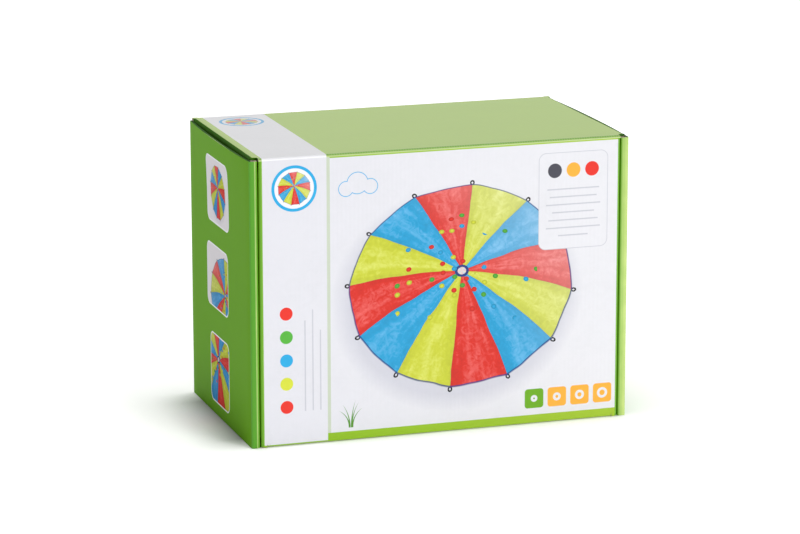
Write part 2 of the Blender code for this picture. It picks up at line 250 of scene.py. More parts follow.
def give_thickness(piece, thickness=BOARD):
    """Turn an outer surface into board: slot 0 outside, 1 inside, 2 the raw rim."""
    for name in ("outside", "inside", "rim"):
        piece.data.materials.append(bpy.data.materials.get(name) or bpy.data.materials.new(name))
    apply(
        piece,
        "SOLIDIFY",
        thickness=thickness,
        offset=-1,
        use_even_offset=True,
        material_offset=1,
        material_offset_rim=2,
    )


def smooth(piece, degrees=35):
    """Shade round parts smooth and keep true corners sharp."""
    choose(piece)
    bpy.ops.object.shade_smooth_by_angle(angle=math.radians(degrees))


def dress(piece, finishes):
    """Put finished materials in a piece's slots."""
    while len(piece.data.materials) < len(finishes):
        piece.data.materials.append(None)
    for index, finish in enumerate(finishes):
        piece.data.materials[index] = finish


print("a sheet of board gets", round(BOARD / MM, 2), "mm of thickness")

# %% [markdown]
# ## Helpers for materials
#
# A material is a small network of nodes.  These helpers add a node, wire it, and
# do arithmetic with sockets, so that a printed shape can be written as a formula.

# %% Nodes, wires and sums
WHITE, BLACK = (1, 1, 1), (0, 0, 0)


def add(tree, kind, **settings):
    """Add a node with its settings."""
    made = tree.nodes.new(kind)
    for key, value in settings.items():
        setattr(made, key, value)
    return made


def wire(tree, value, socket):
    """Feed a socket from another socket, or set its value; a colour is opaque."""
    if isinstance(value, bpy.types.NodeSocket):
        tree.links.new(value, socket)
    else:
        socket.default_value = (*value, 1) if socket.type == "RGBA" else value


def calc(tree, operation, *values, clamp=False):
    """Arithmetic on numbers or sockets."""
    made = add(tree, "ShaderNodeMath", operation=operation, use_clamp=clamp)
    for value, socket in zip(values, made.inputs):
        wire(tree, value, socket)
    return made.outputs[0]


def squares(tree, first, second):
    """The sum of two squares."""
    return calc(tree, "ADD", calc(tree, "MULTIPLY", first, first), calc(tree, "MULTIPLY", second, second))


def colour_mix(tree, share, first, second, kind="MIX"):
    """Blend two colours by a share."""
    made = add(tree, "ShaderNodeMix", data_type="RGBA", blend_type=kind)
    wire(tree, share, made.inputs[0])
    wire(tree, first, made.inputs[6])
    wire(tree, second, made.inputs[7])
    return made.outputs[2]


print("opaque white and black:", WHITE, BLACK)

# %% [markdown]
# Patterns need more than sums.  A vector is taken apart to reach the place across
# and the place up, noise stands for what is uneven on a real surface, and a ramp
# with hard steps picks one colour out of a few.


# %% Vectors, noise and steps
def split(tree, vector):
    """The three numbers of a vector."""
    made = add(tree, "ShaderNodeSeparateXYZ")
    wire(tree, vector, made.inputs[0])
    return made.outputs[0], made.outputs[1], made.outputs[2]


def join(tree, x=0.0, y=0.0, z=0.0):
    """A vector of three numbers."""
    made = add(tree, "ShaderNodeCombineXYZ")
    for value, socket in zip((x, y, z), made.inputs):
        wire(tree, value, socket)
    return made.outputs[0]


def noise_at(tree, place, scale, detail=2.0, roughness=0.5, distortion=0.0):
    """Noise at a place, in lumps per metre; gives its value, Fac, and its Color."""
    made = add(tree, "ShaderNodeTexNoise")
    wire(tree, place, made.inputs["Vector"])
    wire(tree, scale, made.inputs["Scale"])
    for label, value in (("Detail", detail), ("Roughness", roughness), ("Distortion", distortion)):
        wire(tree, value, made.inputs[label])
    return made.outputs


def steps(tree, value, table):
    """A colour for each band of a value, from places and colours."""
    made = add(tree, "ShaderNodeValToRGB")
    ramp = made.color_ramp
    ramp.interpolation = "CONSTANT"
    while len(ramp.elements) < len(table):
        ramp.elements.new(1)
    for element, (place, colour) in zip(ramp.elements, table):
        element.position = place
        element.color = (*colour, 1)
    wire(tree, value, made.inputs[0])
    return made.outputs[0]


print("plain noise has a detail of", noise_at.__defaults__[0])

# %% [markdown]
# What several materials share is a node group, made once with named sockets and
# placed in each of them.  The shader stays in the material itself, and a gloss that
# is the same all over is set on the shader's own sockets.

# %% Groups and materials
SOCKET_KINDS = {"number": "NodeSocketFloat", "vector": "NodeSocketVector", "colour": "NodeSocketColor"}


def new_group(name, inputs, outputs):
    """A node group with named sockets; returns the tree, its inputs and its end."""
    tree = bpy.data.node_groups.new(name, "ShaderNodeTree")
    for way, sockets in (("INPUT", inputs), ("OUTPUT", outputs)):
        for label, kind in sockets:
            tree.interface.new_socket(label, in_out=way, socket_type=SOCKET_KINDS[kind])
    start = tree.nodes.new("NodeGroupInput")
    end = tree.nodes.new("NodeGroupOutput")
    return tree, start.outputs, end.inputs


def use(tree, group, **values):
    """Place a group in a tree and feed its inputs, underscores standing for spaces."""
    made = add(tree, "ShaderNodeGroup", node_tree=group)
    for key, value in values.items():
        wire(tree, value, made.inputs[key.replace("_", " ")])
    return made.outputs


def material(name, roughness, specular=0.5, coat=0.0):
    """A Principled material with constant gloss; returns it, its tree and its shader."""
    made = bpy.data.materials.new(name)
    made.use_nodes = True
    shader = made.node_tree.nodes["Principled BSDF"]
    shader.inputs["Roughness"].default_value = roughness
    shader.inputs["Specular IOR Level"].default_value = specular
    shader.inputs["Coat Weight"].default_value = coat
    shader.inputs["Coat Roughness"].default_value = 0.18
    return made, made.node_tree, shader


def paint(*shades):
    """Screen colours of 0 to 255 as linear light."""
    return tuple((shade / 255) ** 2.2 for shade in shades)


print("a middle screen grey is", round(paint(128)[0], 3), "of white as light")

# %% [markdown]
# ## Printed shapes
#
# The carton's print is built from shapes, not from a picture: a rounded box and a
# disc as masks, and a play wheel of twelve gores.  Each is a node group that
# reads two coordinates in metres, so the same group prints the lid, the ends, the
# top and the leaflet at any size.

# %% Group: rounded box mask
SOFT_EDGE = 0.12 * MM

rounded_box, inside, out = new_group(
    "Rounded box mask",
    [("Across", "number"), ("Up", "number"), ("Centre across", "number"), ("Centre up", "number"),
     ("Half width", "number"), ("Half height", "number"), ("Radius", "number")],
    [("Mask", "number")],
)
reach = []
for along, centre, half in (("Across", "Centre across", "Half width"), ("Up", "Centre up", "Half height")):
    away = calc(rounded_box, "ABSOLUTE", calc(rounded_box, "SUBTRACT", inside[along], inside[centre]))
    flat = calc(rounded_box, "SUBTRACT", inside[half], inside["Radius"])
    reach.append(calc(rounded_box, "SUBTRACT", away, flat))
outer = [calc(rounded_box, "MAXIMUM", value, 0.0) for value in reach]
corner = calc(rounded_box, "SQRT", squares(rounded_box, *outer))
inner = calc(rounded_box, "MINIMUM", calc(rounded_box, "MAXIMUM", reach[0], reach[1]), 0.0)
distance = calc(rounded_box, "SUBTRACT", calc(rounded_box, "ADD", corner, inner), inside["Radius"])
mask = calc(rounded_box, "SUBTRACT", 0.5, calc(rounded_box, "DIVIDE", distance, 2 * SOFT_EDGE), clamp=True)
wire(rounded_box, mask, out["Mask"])
print("the rounded box has", len(rounded_box.nodes), "nodes")

# %% [markdown]
# ### The play wheel
#
# The wheel is the common pattern of a play parachute.  Its group is built in five
# steps, and the first turns a place on the board into a distance and an angle round
# the centre.  Noise bends the place a little, so that the cloth in the print looks
# soft, and the centre is drawn lower, as cloth hangs.

# %% Play wheel: distance and angle
TILT_SHARE = 0.16
RIPPLE_SHARE = 0.05

wheel, inside, out = new_group(
    "Play wheel",
    [("Across", "number"), ("Up", "number"), ("Centre across", "number"), ("Centre up", "number"),
     ("Radius", "number"), ("Squash", "number"), ("Turn", "number")],
    [("Colour", "colour"), ("Mask", "number"), ("Shadow", "number")],
)
plane = join(wheel, inside["Across"], inside["Up"])
from_x = calc(wheel, "SUBTRACT", inside["Across"], inside["Centre across"])
from_x = calc(wheel, "DIVIDE", from_x, inside["Radius"])
from_y = calc(wheel, "SUBTRACT", inside["Up"], inside["Centre up"])
from_y = calc(wheel, "DIVIDE", calc(wheel, "DIVIDE", from_y, inside["Radius"]), inside["Squash"])
inwards = calc(wheel, "SUBTRACT", 1.0, squares(wheel, from_x, from_y), clamp=True)
from_y = calc(wheel, "SUBTRACT", from_y, calc(wheel, "MULTIPLY", inwards, TILT_SHARE))

bends = noise_at(wheel, plane, calc(wheel, "DIVIDE", 2.6, inside["Radius"]))["Color"]
bent = []
for bend, number in zip(split(wheel, bends), (from_x, from_y)):
    bend = calc(wheel, "MULTIPLY", calc(wheel, "SUBTRACT", bend, 0.5), RIPPLE_SHARE)
    bent.append(calc(wheel, "ADD", number, bend))
radius = calc(wheel, "SQRT", squares(wheel, *bent))
angle = calc(wheel, "ADD", calc(wheel, "ARCTAN2", bent[1], bent[0]), inside["Turn"])
print("the print's cloth is bent by up to", RIPPLE_SHARE / 2, "of the wheel's radius")

# %% [markdown]
# The angle picks the gore, in turn red, yellow and blue.  Light falls on each gore's
# round back, on soft folds that run outwards and on fine crumples.  A pale haze of
# painted reflection lies towards the upper right, from where the lamp shines.

# %% Play wheel: gores and their light
GORES = 12
CRUMPLE_SHARE = 0.34
GLARE_SHARE = 0.24
CLOTH_RED = paint(233, 52, 40)
CLOTH_YELLOW = paint(216, 223, 64)
CLOTH_BLUE = paint(42, 170, 226)

gore = calc(wheel, "MULTIPLY", calc(wheel, "ADD", angle, 4 * math.pi), GORES / (2 * math.pi))
place_in_gore = calc(wheel, "FRACT", gore)
gore_kind = calc(wheel, "DIVIDE", calc(wheel, "MODULO", calc(wheel, "FLOOR", gore), 3.0), 3.0)
gore_colours = [(0, CLOTH_RED), (0.33, CLOTH_BLUE), (0.66, CLOTH_YELLOW)]
cloth = steps(wheel, calc(wheel, "ADD", gore_kind, 0.1), gore_colours)

crest = calc(wheel, "SINE", calc(wheel, "MULTIPLY", place_in_gore, math.pi))
swirl = join(wheel, calc(wheel, "MULTIPLY", angle, 5.0), calc(wheel, "MULTIPLY", radius, 1.6))
folds = noise_at(wheel, swirl, 2.4)["Fac"]
crumples = noise_at(wheel, plane, calc(wheel, "DIVIDE", 15.0, inside["Radius"]), 7, 0.62, 1.6)["Fac"]
light = calc(wheel, "ADD", 0.78, calc(wheel, "MULTIPLY", crest, 0.12))
for uneven, share in ((folds, 0.3), (crumples, CRUMPLE_SHARE)):
    uneven = calc(wheel, "MULTIPLY", calc(wheel, "SUBTRACT", uneven, 0.5), share)
    light = calc(wheel, "ADD", light, uneven)
grey = add(wheel, "ShaderNodeCombineColor")
for socket in grey.inputs[:3]:
    wire(wheel, light, socket)
cloth = colour_mix(wheel, 1.0, cloth, grey.outputs[0], "MULTIPLY")
glow = calc(wheel, "MULTIPLY", calc(wheel, "SUBTRACT", light, 0.85, clamp=True), 0.8)
# Painted reflection: a glare of the lamp, paler towards the upper right.
to_light = calc(wheel, "ADD", calc(wheel, "MULTIPLY", from_x, 0.8), calc(wheel, "MULTIPLY", from_y, 0.5))
painted_glare = calc(wheel, "MULTIPLY", calc(wheel, "MULTIPLY", to_light, GLARE_SHARE, clamp=True), light)
cloth = colour_mix(wheel, calc(wheel, "ADD", glow, painted_glare), cloth, WHITE)
print("gores in the print:", GORES)

# %% [markdown]
# A dark hem binds the rim, which is drawn in a little between the seams.  The seams
# show as thin lines, and at the centre a ring of tape holds the pale net.

# %% Play wheel: seams, hem and net
HEM_SHARE = 0.016
NET_SHARE = 0.05
HEM_NAVY = paint(40, 62, 128)
BARE_NET = paint(226, 216, 222)

from_middle = calc(wheel, "ABSOLUTE", calc(wheel, "SUBTRACT", place_in_gore, 0.5))
seam = calc(wheel, "GREATER_THAN", from_middle, 0.488)
rim = calc(wheel, "SUBTRACT", 1.0, calc(wheel, "MULTIPLY", crest, 0.018))
to_rim = calc(wheel, "SUBTRACT", rim, radius)
hem = calc(wheel, "LESS_THAN", to_rim, HEM_SHARE)
net = calc(wheel, "LESS_THAN", radius, NET_SHARE)
tape = calc(wheel, "COMPARE", radius, NET_SHARE, 0.012)
layers = ((seam, 0.12, HEM_NAVY), (hem, 0.85, HEM_NAVY), (net, 0.75, BARE_NET), (tape, 1.0, HEM_NAVY))
for part, share, shade in layers:
    cloth = colour_mix(wheel, calc(wheel, "MULTIPLY", part, share), cloth, shade)
print("the net reaches", NET_SHARE, "of the way to the rim")

# %% [markdown]
# Small balls bounce on the cloth.  A Voronoi texture scatters one point in each cell
# of a grid.  A disc round the point is a ball, its cell's random colour says whether
# it is there and which colour it has, and balls are rarer towards the rim.

# %% Play wheel: balls
BALL_CELLS = 10.5
BALL_SIZE_SHARE = 0.25
BALL_GREEN = paint(86, 178, 62)

scatter = add(wheel, "ShaderNodeTexVoronoi", voronoi_dimensions="2D")
cell_x = calc(wheel, "MULTIPLY", from_x, BALL_CELLS)
cell_y = calc(wheel, "MULTIPLY", from_y, BALL_CELLS)
wire(wheel, join(wheel, cell_x, cell_y), scatter.inputs["Vector"])
scatter.inputs["Scale"].default_value = 1
scatter.inputs["Randomness"].default_value = 0.75
chance, ball_kind, _ = split(wheel, scatter.outputs["Color"])
near_ball = calc(wheel, "LESS_THAN", scatter.outputs["Distance"], BALL_SIZE_SHARE)
likely = calc(wheel, "SUBTRACT", 0.72, calc(wheel, "MULTIPLY", radius, 1.05))
near_ball = calc(wheel, "MULTIPLY", near_ball, calc(wheel, "LESS_THAN", chance, likely))
ball_colours = [(0, CLOTH_RED), (0.27, CLOTH_BLUE), (0.5, BALL_GREEN), (0.74, CLOTH_YELLOW)]
ball_colour = steps(wheel, ball_kind, ball_colours)
round_shade = calc(wheel, "MULTIPLY", scatter.outputs["Distance"], 1.6, clamp=True)
ball_colour = colour_mix(wheel, round_shade, ball_colour, BLACK)
cloth = colour_mix(wheel, near_ball, cloth, ball_colour)
print("colours of the printed balls:", len(ball_colours))

# %% [markdown]
# Each seam ends in a black loop outside the rim: a small ring round the place where
# the seam meets it.  The group puts out the colour, the mask of cloth and loops, and
# a soft shadow that falls below.

# %% Play wheel: handles and shadow
HANDLE_SHARE = 1.008
BLACK_WEBBING = paint(22, 22, 26)

from_seam = calc(wheel, "SUBTRACT", calc(wheel, "FRACT", calc(wheel, "ADD", gore, 0.5)), 0.5)
sideways = calc(wheel, "DIVIDE", calc(wheel, "MULTIPLY", from_seam, 2 * math.pi / GORES), 0.021)
outwards = calc(wheel, "DIVIDE", calc(wheel, "SUBTRACT", radius, HANDLE_SHARE), 0.026)
handle = calc(wheel, "COMPARE", calc(wheel, "SQRT", squares(wheel, sideways, outwards)), 0.7, 0.3)
handle = calc(wheel, "MULTIPLY", handle, calc(wheel, "GREATER_THAN", radius, 0.985))
cover = calc(wheel, "MULTIPLY", to_rim, 120.0, clamp=True)
bare_handle = calc(wheel, "MULTIPLY", handle, calc(wheel, "SUBTRACT", 1.0, cover))
wire(wheel, colour_mix(wheel, bare_handle, cloth, BLACK_WEBBING), out["Colour"])
wire(wheel, calc(wheel, "MAXIMUM", cover, handle), out["Mask"])
shadow_y = calc(wheel, "ADD", from_y, 0.10)
shadow_x = calc(wheel, "ADD", from_x, 0.03)
shadow_far = calc(wheel, "SQRT", squares(wheel, shadow_x, shadow_y))
shadow = calc(wheel, "MULTIPLY", calc(wheel, "SUBTRACT", 1.12, shadow_far), 6.0, clamp=True)
wire(wheel, shadow, out["Shadow"])
print("groups for the print:", [group.name for group in bpy.data.node_groups])

# %% [markdown]
# ## Board
#
# Thin corrugated board shows faint bands where the liner sinks between its flutes,
# with small dents and crinkles from handling, and its ink lies a little unevenly.
# A sine gives the bands and noise of three sizes the rest.  The group puts out a
# height for the bump and a mottle for the ink.

# %% Group: flute bands
FLUTE_PITCH = 3.3 * MM

bands, inside, out = new_group(
    "Flute bands",
    [("Across flutes", "number"), ("Place", "vector")],
    [("Height", "number"), ("Mottle", "number")],
)
wave = calc(bands, "SINE", calc(bands, "MULTIPLY", inside["Across flutes"], 2 * math.pi / FLUTE_PITCH))
dents = noise_at(bands, inside["Place"], 26, 3)["Fac"]
grain = noise_at(bands, inside["Place"], 900)["Fac"]
crinkles = noise_at(bands, inside["Place"], 130, 5, distortion=1.5)["Fac"]
height = calc(bands, "MULTIPLY", wave, 0.5)
for rough, share in ((dents, 5.0), (grain, 0.35), (crinkles, 1.6)):
    height = calc(bands, "ADD", height, calc(bands, "MULTIPLY", rough, share))
wire(bands, height, out["Height"])
wire(bands, calc(bands, "MULTIPLY", crinkles, dents), out["Mottle"])
print("a flute every", round(FLUTE_PITCH / MM, 1), "mm")

# %% [markdown]
# Coated print is satin, and it shines along a sharp crease.  This group gives a painted
# sheen for that: a pale streak, full at the crease, gone at its reach, and broken up
# by noise.

# %% Group: painted crease sheen
crease_sheen, inside, out = new_group(
    "Painted crease sheen",
    [("From crease", "number"), ("Reach", "number"), ("Place", "vector")],
    [("Mask", "number")],
)
distance = calc(crease_sheen, "DIVIDE", calc(crease_sheen, "ABSOLUTE", inside["From crease"]), inside["Reach"])
beside = calc(crease_sheen, "SUBTRACT", 1.0, distance, clamp=True)
# Noise breaks up the painted sheen.
broken_sheen = calc(crease_sheen, "ADD", 0.5, noise_at(crease_sheen, inside["Place"], 45)["Fac"])
wire(crease_sheen, calc(crease_sheen, "MULTIPLY", beside, broken_sheen), out["Mask"])
print("groups for the board:", bands.name, "and", crease_sheen.name)

# %% [markdown]
# A bump is only a hint to the light, so it stays shallow.  The helpers below end a
# board material: they take the printed colour, make it a little uneven, and add the
# bands as a bump.

# %% Finish for a printed or plain board
UNEVEN_INK = (0.88, 0.89, 0.88)
BAND_DEPTH = 0.06 * MM


def object_place(tree):
    """The place on the piece, in metres."""
    return add(tree, "ShaderNodeTexCoord").outputs["Object"]


def give_bump(tree, shader, height, distance, strength=1.0):
    """Bend the light on a shader by a height, as deep as a distance."""
    bump = add(tree, "ShaderNodeBump")
    for label, value in (("Strength", strength), ("Distance", distance), ("Height", height)):
        wire(tree, value, bump.inputs[label])
    wire(tree, bump.outputs[0], shader.inputs["Normal"])


def finish_board(tree, shader, colour, across_flutes, place, strength=0.25):
    """Wire a board's colour, a little uneven, and its bump."""
    surface = use(tree, bands, Across_flutes=across_flutes, Place=place)
    uneven = colour_mix(tree, surface["Mottle"], WHITE, UNEVEN_INK)
    wire(tree, colour_mix(tree, 1.0, colour, uneven, "MULTIPLY"), shader.inputs["Base Color"])
    give_bump(tree, shader, surface["Height"], BAND_DEPTH, strength)


print("the bands are", round(BAND_DEPTH / MM, 2), "mm deep")

# %% [markdown]
# Every ink is named once, as a screen colour.  Folds, rolls, flaps and the top are
# printed in the same green as the walls, but they look lighter or darker in the
# photograph, so each has a shade of its own: the darker ones are painted shade, the
# paler ones painted light and sheen.

# %% Inks
GREEN = paint(108, 170, 30)
DARK_GREEN = paint(100, 158, 18)
# Painted shade: the left roll's darker green and the flaps' dark green.
SHADED_ROLL_GREEN = paint(80, 154, 12)
SHADED_FLAP_GREEN = paint(56, 104, 16)
# Painted light: the pale sheen green, the top's lighter green and the fold's paler green.
SHEEN_GREEN = paint(212, 232, 140)
LIT_TOP_GREEN = paint(157, 195, 8)
LIT_FOLD_GREEN = paint(158, 187, 100)
PANEL_WHITE = paint(242, 242, 246)
PICTURE_GROUND = paint(226, 222, 227)
BARE_LINER = paint(232, 229, 221)
INSIDE_BOARD = paint(203, 194, 178)
PRINT_ROUGHNESS = 0.36
print("the walls' green as light:", [round(part, 3) for part in GREEN])

# %% [markdown]
# ### Helpers for print
#
# Each printed shape is a mask that mixes its colour over what is already there, as
# one ink lies over another.  The helpers lay down a box, a disc and a wheel.

# %% Print helpers
LEFT = -LID_HALF
BAND = (LEFT + 2.4 * MM, LEFT + 52.0 * MM)
TILE_ORANGE = paint(250, 178, 62)
SHADOW_INK = paint(150, 152, 176)


def box_mask(tree, across, up, span, height, radius=0.0):
    """A box of print between two places across and two places up."""
    return use(
        tree, rounded_box, Across=across, Up=up,
        Centre_across=(span[0] + span[1]) / 2, Centre_up=(height[0] + height[1]) / 2,
        Half_width=(span[1] - span[0]) / 2, Half_height=(height[1] - height[0]) / 2, Radius=radius,
    )["Mask"]


def disc_mask(tree, across, up, centre, size):
    """A disc of print."""
    return use(
        tree, rounded_box, Across=across, Up=up, Centre_across=centre[0], Centre_up=centre[1],
        Half_width=size, Half_height=size, Radius=size,
    )["Mask"]


def print_wheel(tree, colour, across, up, centre, size,
                squash=1.0, turn_by=0.0, shade=0.3, within=1.0, rich=0.0):
    """Lay a play wheel and its soft shadow over a colour; rich deepens its inks."""
    drawn = use(tree, wheel, Across=across, Up=up, Centre_across=centre[0], Centre_up=centre[1],
                Radius=size, Squash=squash, Turn=turn_by)
    shaded = calc(tree, "MULTIPLY", calc(tree, "MULTIPLY", drawn["Shadow"], shade), within)
    colour = colour_mix(tree, shaded, colour, SHADOW_INK)
    inks = colour_mix(tree, rich, drawn["Colour"], drawn["Colour"], "MULTIPLY") if rich else drawn["Colour"]
    return colour_mix(tree, calc(tree, "MULTIPLY", drawn["Mask"], within), colour, inks)


def print_ringed_wheel(tree, colour, across, up, height):
    """Lay a small wheel in a blue ring on the white band."""
    centre = (LEFT + 27 * MM, height)
    for size, shade in ((17.5 * MM, CLOTH_BLUE), (15.2 * MM, PANEL_WHITE)):
        colour = colour_mix(tree, disc_mask(tree, across, up, centre, size), colour, shade)
    return print_wheel(tree, colour, across, up, centre, 12.6 * MM, 1.0, 0.2, 0.0)


print("the white band is", round((BAND[1] - BAND[0]) / MM, 1), "mm wide")

# %% [markdown]
# ### Print of the lid
#
# The lid is white in green borders.  Painted light makes the green and the white paler
# and yellower to the right, where the lamp's sheen falls.  A white band runs down its
# left side and on over the top, and a pale line parts it from the white panel.

# %% Lid print: borders, band and panel
PANEL = (LEFT + 54.4 * MM, LID_HALF - 1.3 * MM)
PANEL_UP = (7.2 * MM, 218.2 * MM)
# Painted light: each pair goes from the left, in less light, to the right, in the lamp's sheen.
BORDER_GREENS_DIM_TO_LIT = (paint(136, 184, 22), paint(164, 198, 50))
LID_WHITES_DIM_TO_LIT = (paint(224, 224, 231), paint(232, 232, 237))
PALE_LINE = paint(200, 210, 190)

lid_print, tree, shader = material("lid_print", PRINT_ROUGHNESS, 0.3)
place = object_place(tree)
across, _, up = split(tree, place)
# Painted light: this share grows to the right and blends both the borders and the white.
lit_to_right = calc(tree, "DIVIDE", calc(tree, "SUBTRACT", across, LEFT), 2 * LID_HALF, clamp=True)
colour = colour_mix(tree, lit_to_right, *BORDER_GREENS_DIM_TO_LIT)
white = colour_mix(tree, lit_to_right, *LID_WHITES_DIM_TO_LIT)
line = box_mask(tree, across, up, (BAND[1], PANEL[0]), (PANEL_UP[0], TOP))
colour = colour_mix(tree, line, colour, PALE_LINE)
for span, rise in ((BAND, (1.7 * MM, TOP + FOLD)), (PANEL, PANEL_UP)):
    colour = colour_mix(tree, box_mask(tree, across, up, span, rise), colour, white)
print("white panel:", round((PANEL[1] - PANEL[0]) / MM, 1), "mm wide")

# %% [markdown]
# A wheel fills most of the panel.  An outlined cloud is three discs of blue with
# three smaller ones of white over them.  A blade of grass is what is left of one
# disc when a second one, moved a little, is taken away: the way of the move sets
# where the blade comes to its point.

# %% Lid print: cloud, grass and wheel
WHEEL_CENTRE = (LEFT + 158 * MM, 112 * MM)
WHEEL_RADIUS = 90 * MM
CLOUD = ((67, 194, 6), (76, 198, 8.5), (86, 195, 6))
CLOUD_LINE = 0.55 * MM
GRASS_FOOT = (LEFT + 70 * MM, 10 * MM)
GRASS = ((-0.6, 15, -1, 64), (-0.2, 30, -1, 36), (0, 60, 1, 19), (0.3, 34, 1, 33), (0.8, 17, 1, 58))
GRASS_GREEN = paint(84, 144, 40)
BLADE = 1.1 * MM

for inset, ink in ((0, CLOTH_BLUE), (CLOUD_LINE, white)):
    for puff_across, puff_up, size in CLOUD:
        puff = disc_mask(tree, across, up, (LEFT + puff_across * MM, puff_up * MM), size * MM - inset)
        colour = colour_mix(tree, puff, colour, ink)
for foot, size, way, point in GRASS:
    middle = (GRASS_FOOT[0] + (foot + way * size) * MM, GRASS_FOOT[1])
    move_way, move = math.radians(90 - point), BLADE / math.sin(math.radians(point))
    moved = (middle[0] + way * move * math.cos(move_way), middle[1] + move * math.sin(move_way))
    discs = [disc_mask(tree, across, up, centre, size * MM) for centre in (middle, moved)]
    blade = calc(tree, "SUBTRACT", *discs, clamp=True)
    blade = calc(tree, "MULTIPLY", blade, calc(tree, "GREATER_THAN", up, GRASS_FOOT[1]))
    colour = colour_mix(tree, blade, colour, GRASS_GREEN)
colour = print_wheel(tree, colour, across, up, WHEEL_CENTRE, WHEEL_RADIUS, 0.88, 0.1)
print("blades of grass:", len(GRASS))

# %% [markdown]
# Where the real carton has lettering there are plain shapes of like size: balls and
# thin rules in a framed box at the upper right, and rings on four tiles at the
# lower right.  A frame is a box of its ink with a smaller box of white over it.

# %% Lid print: framed box and tiles
BOX_SPAN = (LID_HALF - 66 * MM, LID_HALF - 10 * MM)
BOX_RISE = (136 * MM, 211 * MM)
BOX_CORNER = 6 * MM
GREY_INK, DARK_INK = paint(200, 201, 210), paint(74, 74, 84)
RULE = 1.0 * MM
TILE_HALF = 7.6 * MM
TILE_PITCH = 18.6 * MM
TILE_RIGHT = LID_HALF - 5.0 * MM - TILE_HALF
TILES = 4

for inset, ink in ((0, GREY_INK), (0.5 * MM, white)):
    frame_box = box_mask(tree, across, up, (BOX_SPAN[0] + inset, BOX_SPAN[1] - inset),
                         (BOX_RISE[0] + inset, BOX_RISE[1] - inset), BOX_CORNER - inset)
    colour = colour_mix(tree, frame_box, colour, ink)
box_middle = (BOX_SPAN[0] + BOX_SPAN[1]) / 2
for aside, ink in ((-15, DARK_INK), (0, TILE_ORANGE), (15, CLOTH_RED)):
    ball = disc_mask(tree, across, up, (box_middle + aside * MM, 197 * MM), 5.6 * MM)
    colour = colour_mix(tree, ball, colour, ink)
for number, half in enumerate((21, 19, 22, 17, 20, 22, 12)):
    height = (182 - 6 * number) * MM
    span = (box_middle - half * MM, box_middle + half * MM)
    rule = box_mask(tree, across, up, span, (height, height + RULE))
    colour = colour_mix(tree, rule, colour, GREY_INK)
for number in range(TILES):
    tile_at = (TILE_RIGHT - number * TILE_PITCH, 20 * MM)
    span, rise = ((middle - TILE_HALF, middle + TILE_HALF) for middle in tile_at)
    fill = GREEN if number == TILES - 1 else TILE_ORANGE
    colour = colour_mix(tree, box_mask(tree, across, up, span, rise, 2.4 * MM), colour, fill)
    for size, ink in (((4.2 - number * 0.5) * MM, white), ((2.2 - number * 0.5) * MM, fill)):
        colour = colour_mix(tree, disc_mask(tree, across, up, tile_at, size), colour, ink)
print("framed box", round((BOX_SPAN[1] - BOX_SPAN[0]) / MM), "mm wide, tiles:", TILES)

# %% [markdown]
# The white band carries a small ringed wheel, five colour spots and three upright
# rules.  With them the print of the lid is whole, and it gets the board's finish.

# %% Lid print: ringed wheel, spots and rules
SPOTS = (CLOTH_RED, CLOTH_YELLOW, CLOTH_BLUE, BALL_GREEN, CLOTH_RED)

colour = print_ringed_wheel(tree, colour, across, up, 197 * MM)
for number, shade in enumerate(SPOTS):
    spot = disc_mask(tree, across, up, (LEFT + 20 * MM, (30 + number * 18) * MM), 5 * MM)
    colour = colour_mix(tree, spot, colour, shade)
for aside, reach in ((34, 96), (40, 104), (46, 88)):
    rule = box_mask(tree, across, up, (LEFT + aside * MM, LEFT + aside * MM + RULE), (26 * MM, reach * MM))
    colour = colour_mix(tree, rule, colour, GREY_INK)
finish_board(tree, shader, colour, across, place)
print("lid print:", len(tree.nodes), "nodes")

# %% [markdown]
# ### Print of the top, the folds and the flaps
#
# The white band runs on over the top, whose green is painted lighter than the walls',
# as painted light.  A score line, pressed in by the die, runs along the round of the
# front crease as dark dashes of painted shade.  The fold below it has a paler green,
# and a pale streak along the crease, both painted sheen.  The flaps that go into the
# ends are a dark green of painted shade, so the slits that they show in stay dark.

# %% Top print
SCORE_INSET = 1.4 * MM
SCORE_HALF = 1.0 * MM
DASH_PITCH = 2.0 * MM

top_print, tree, shader = material("top_print", PRINT_ROUGHNESS, coat=0.24)
place = object_place(tree)
across, deep, _ = split(tree, place)
from_crease = calc(tree, "SUBTRACT", deep, FRONT)
# Painted sheen: a pale streak along the front crease.
crease = use(tree, crease_sheen, From_crease=from_crease, Reach=0.8 * MM, Place=place)["Mask"]
on_fold = calc(tree, "LESS_THAN", deep, FRONT + FOLD)
# The top's green is painted light, and the fold's paler green is painted sheen.
ink = colour_mix(tree, on_fold, LIT_TOP_GREEN, LIT_FOLD_GREEN)
ink = colour_mix(tree, calc(tree, "MULTIPLY", crease, 0.2), ink, SHEEN_GREEN)
score_line = calc(tree, "COMPARE", deep, FRONT + SCORE_INSET, SCORE_HALF)
dash = calc(tree, "LESS_THAN", calc(tree, "FRACT", calc(tree, "DIVIDE", across, DASH_PITCH)), 0.6)
# The score line's dark dashes are painted shade.
painted_score_shade = calc(tree, "MULTIPLY", score_line, calc(tree, "ADD", 0.5, calc(tree, "MULTIPLY", dash, 0.4)))
ink = colour_mix(tree, painted_score_shade, ink, DARK_GREEN)
colour = colour_mix(tree, box_mask(tree, across, deep, BAND, (-1.0, 1.0)), ink, PANEL_WHITE)
colour = print_ringed_wheel(tree, colour, across, deep, 58 * MM)
finish_board(tree, shader, colour, across, place)
print("score line", round(SCORE_INSET / MM, 1), "mm behind the front plane")

# %% [markdown]
# Folds and rolled edges are plain green, and the left roll is painted darker, as
# painted shade.  A rolled edge gets a pale streak of painted sheen along its inner
# crease and where the right one bulges out.  The flaps are a dark green of painted
# shade, and the returns are green only near the front, where the print ends and the
# bare liner starts.

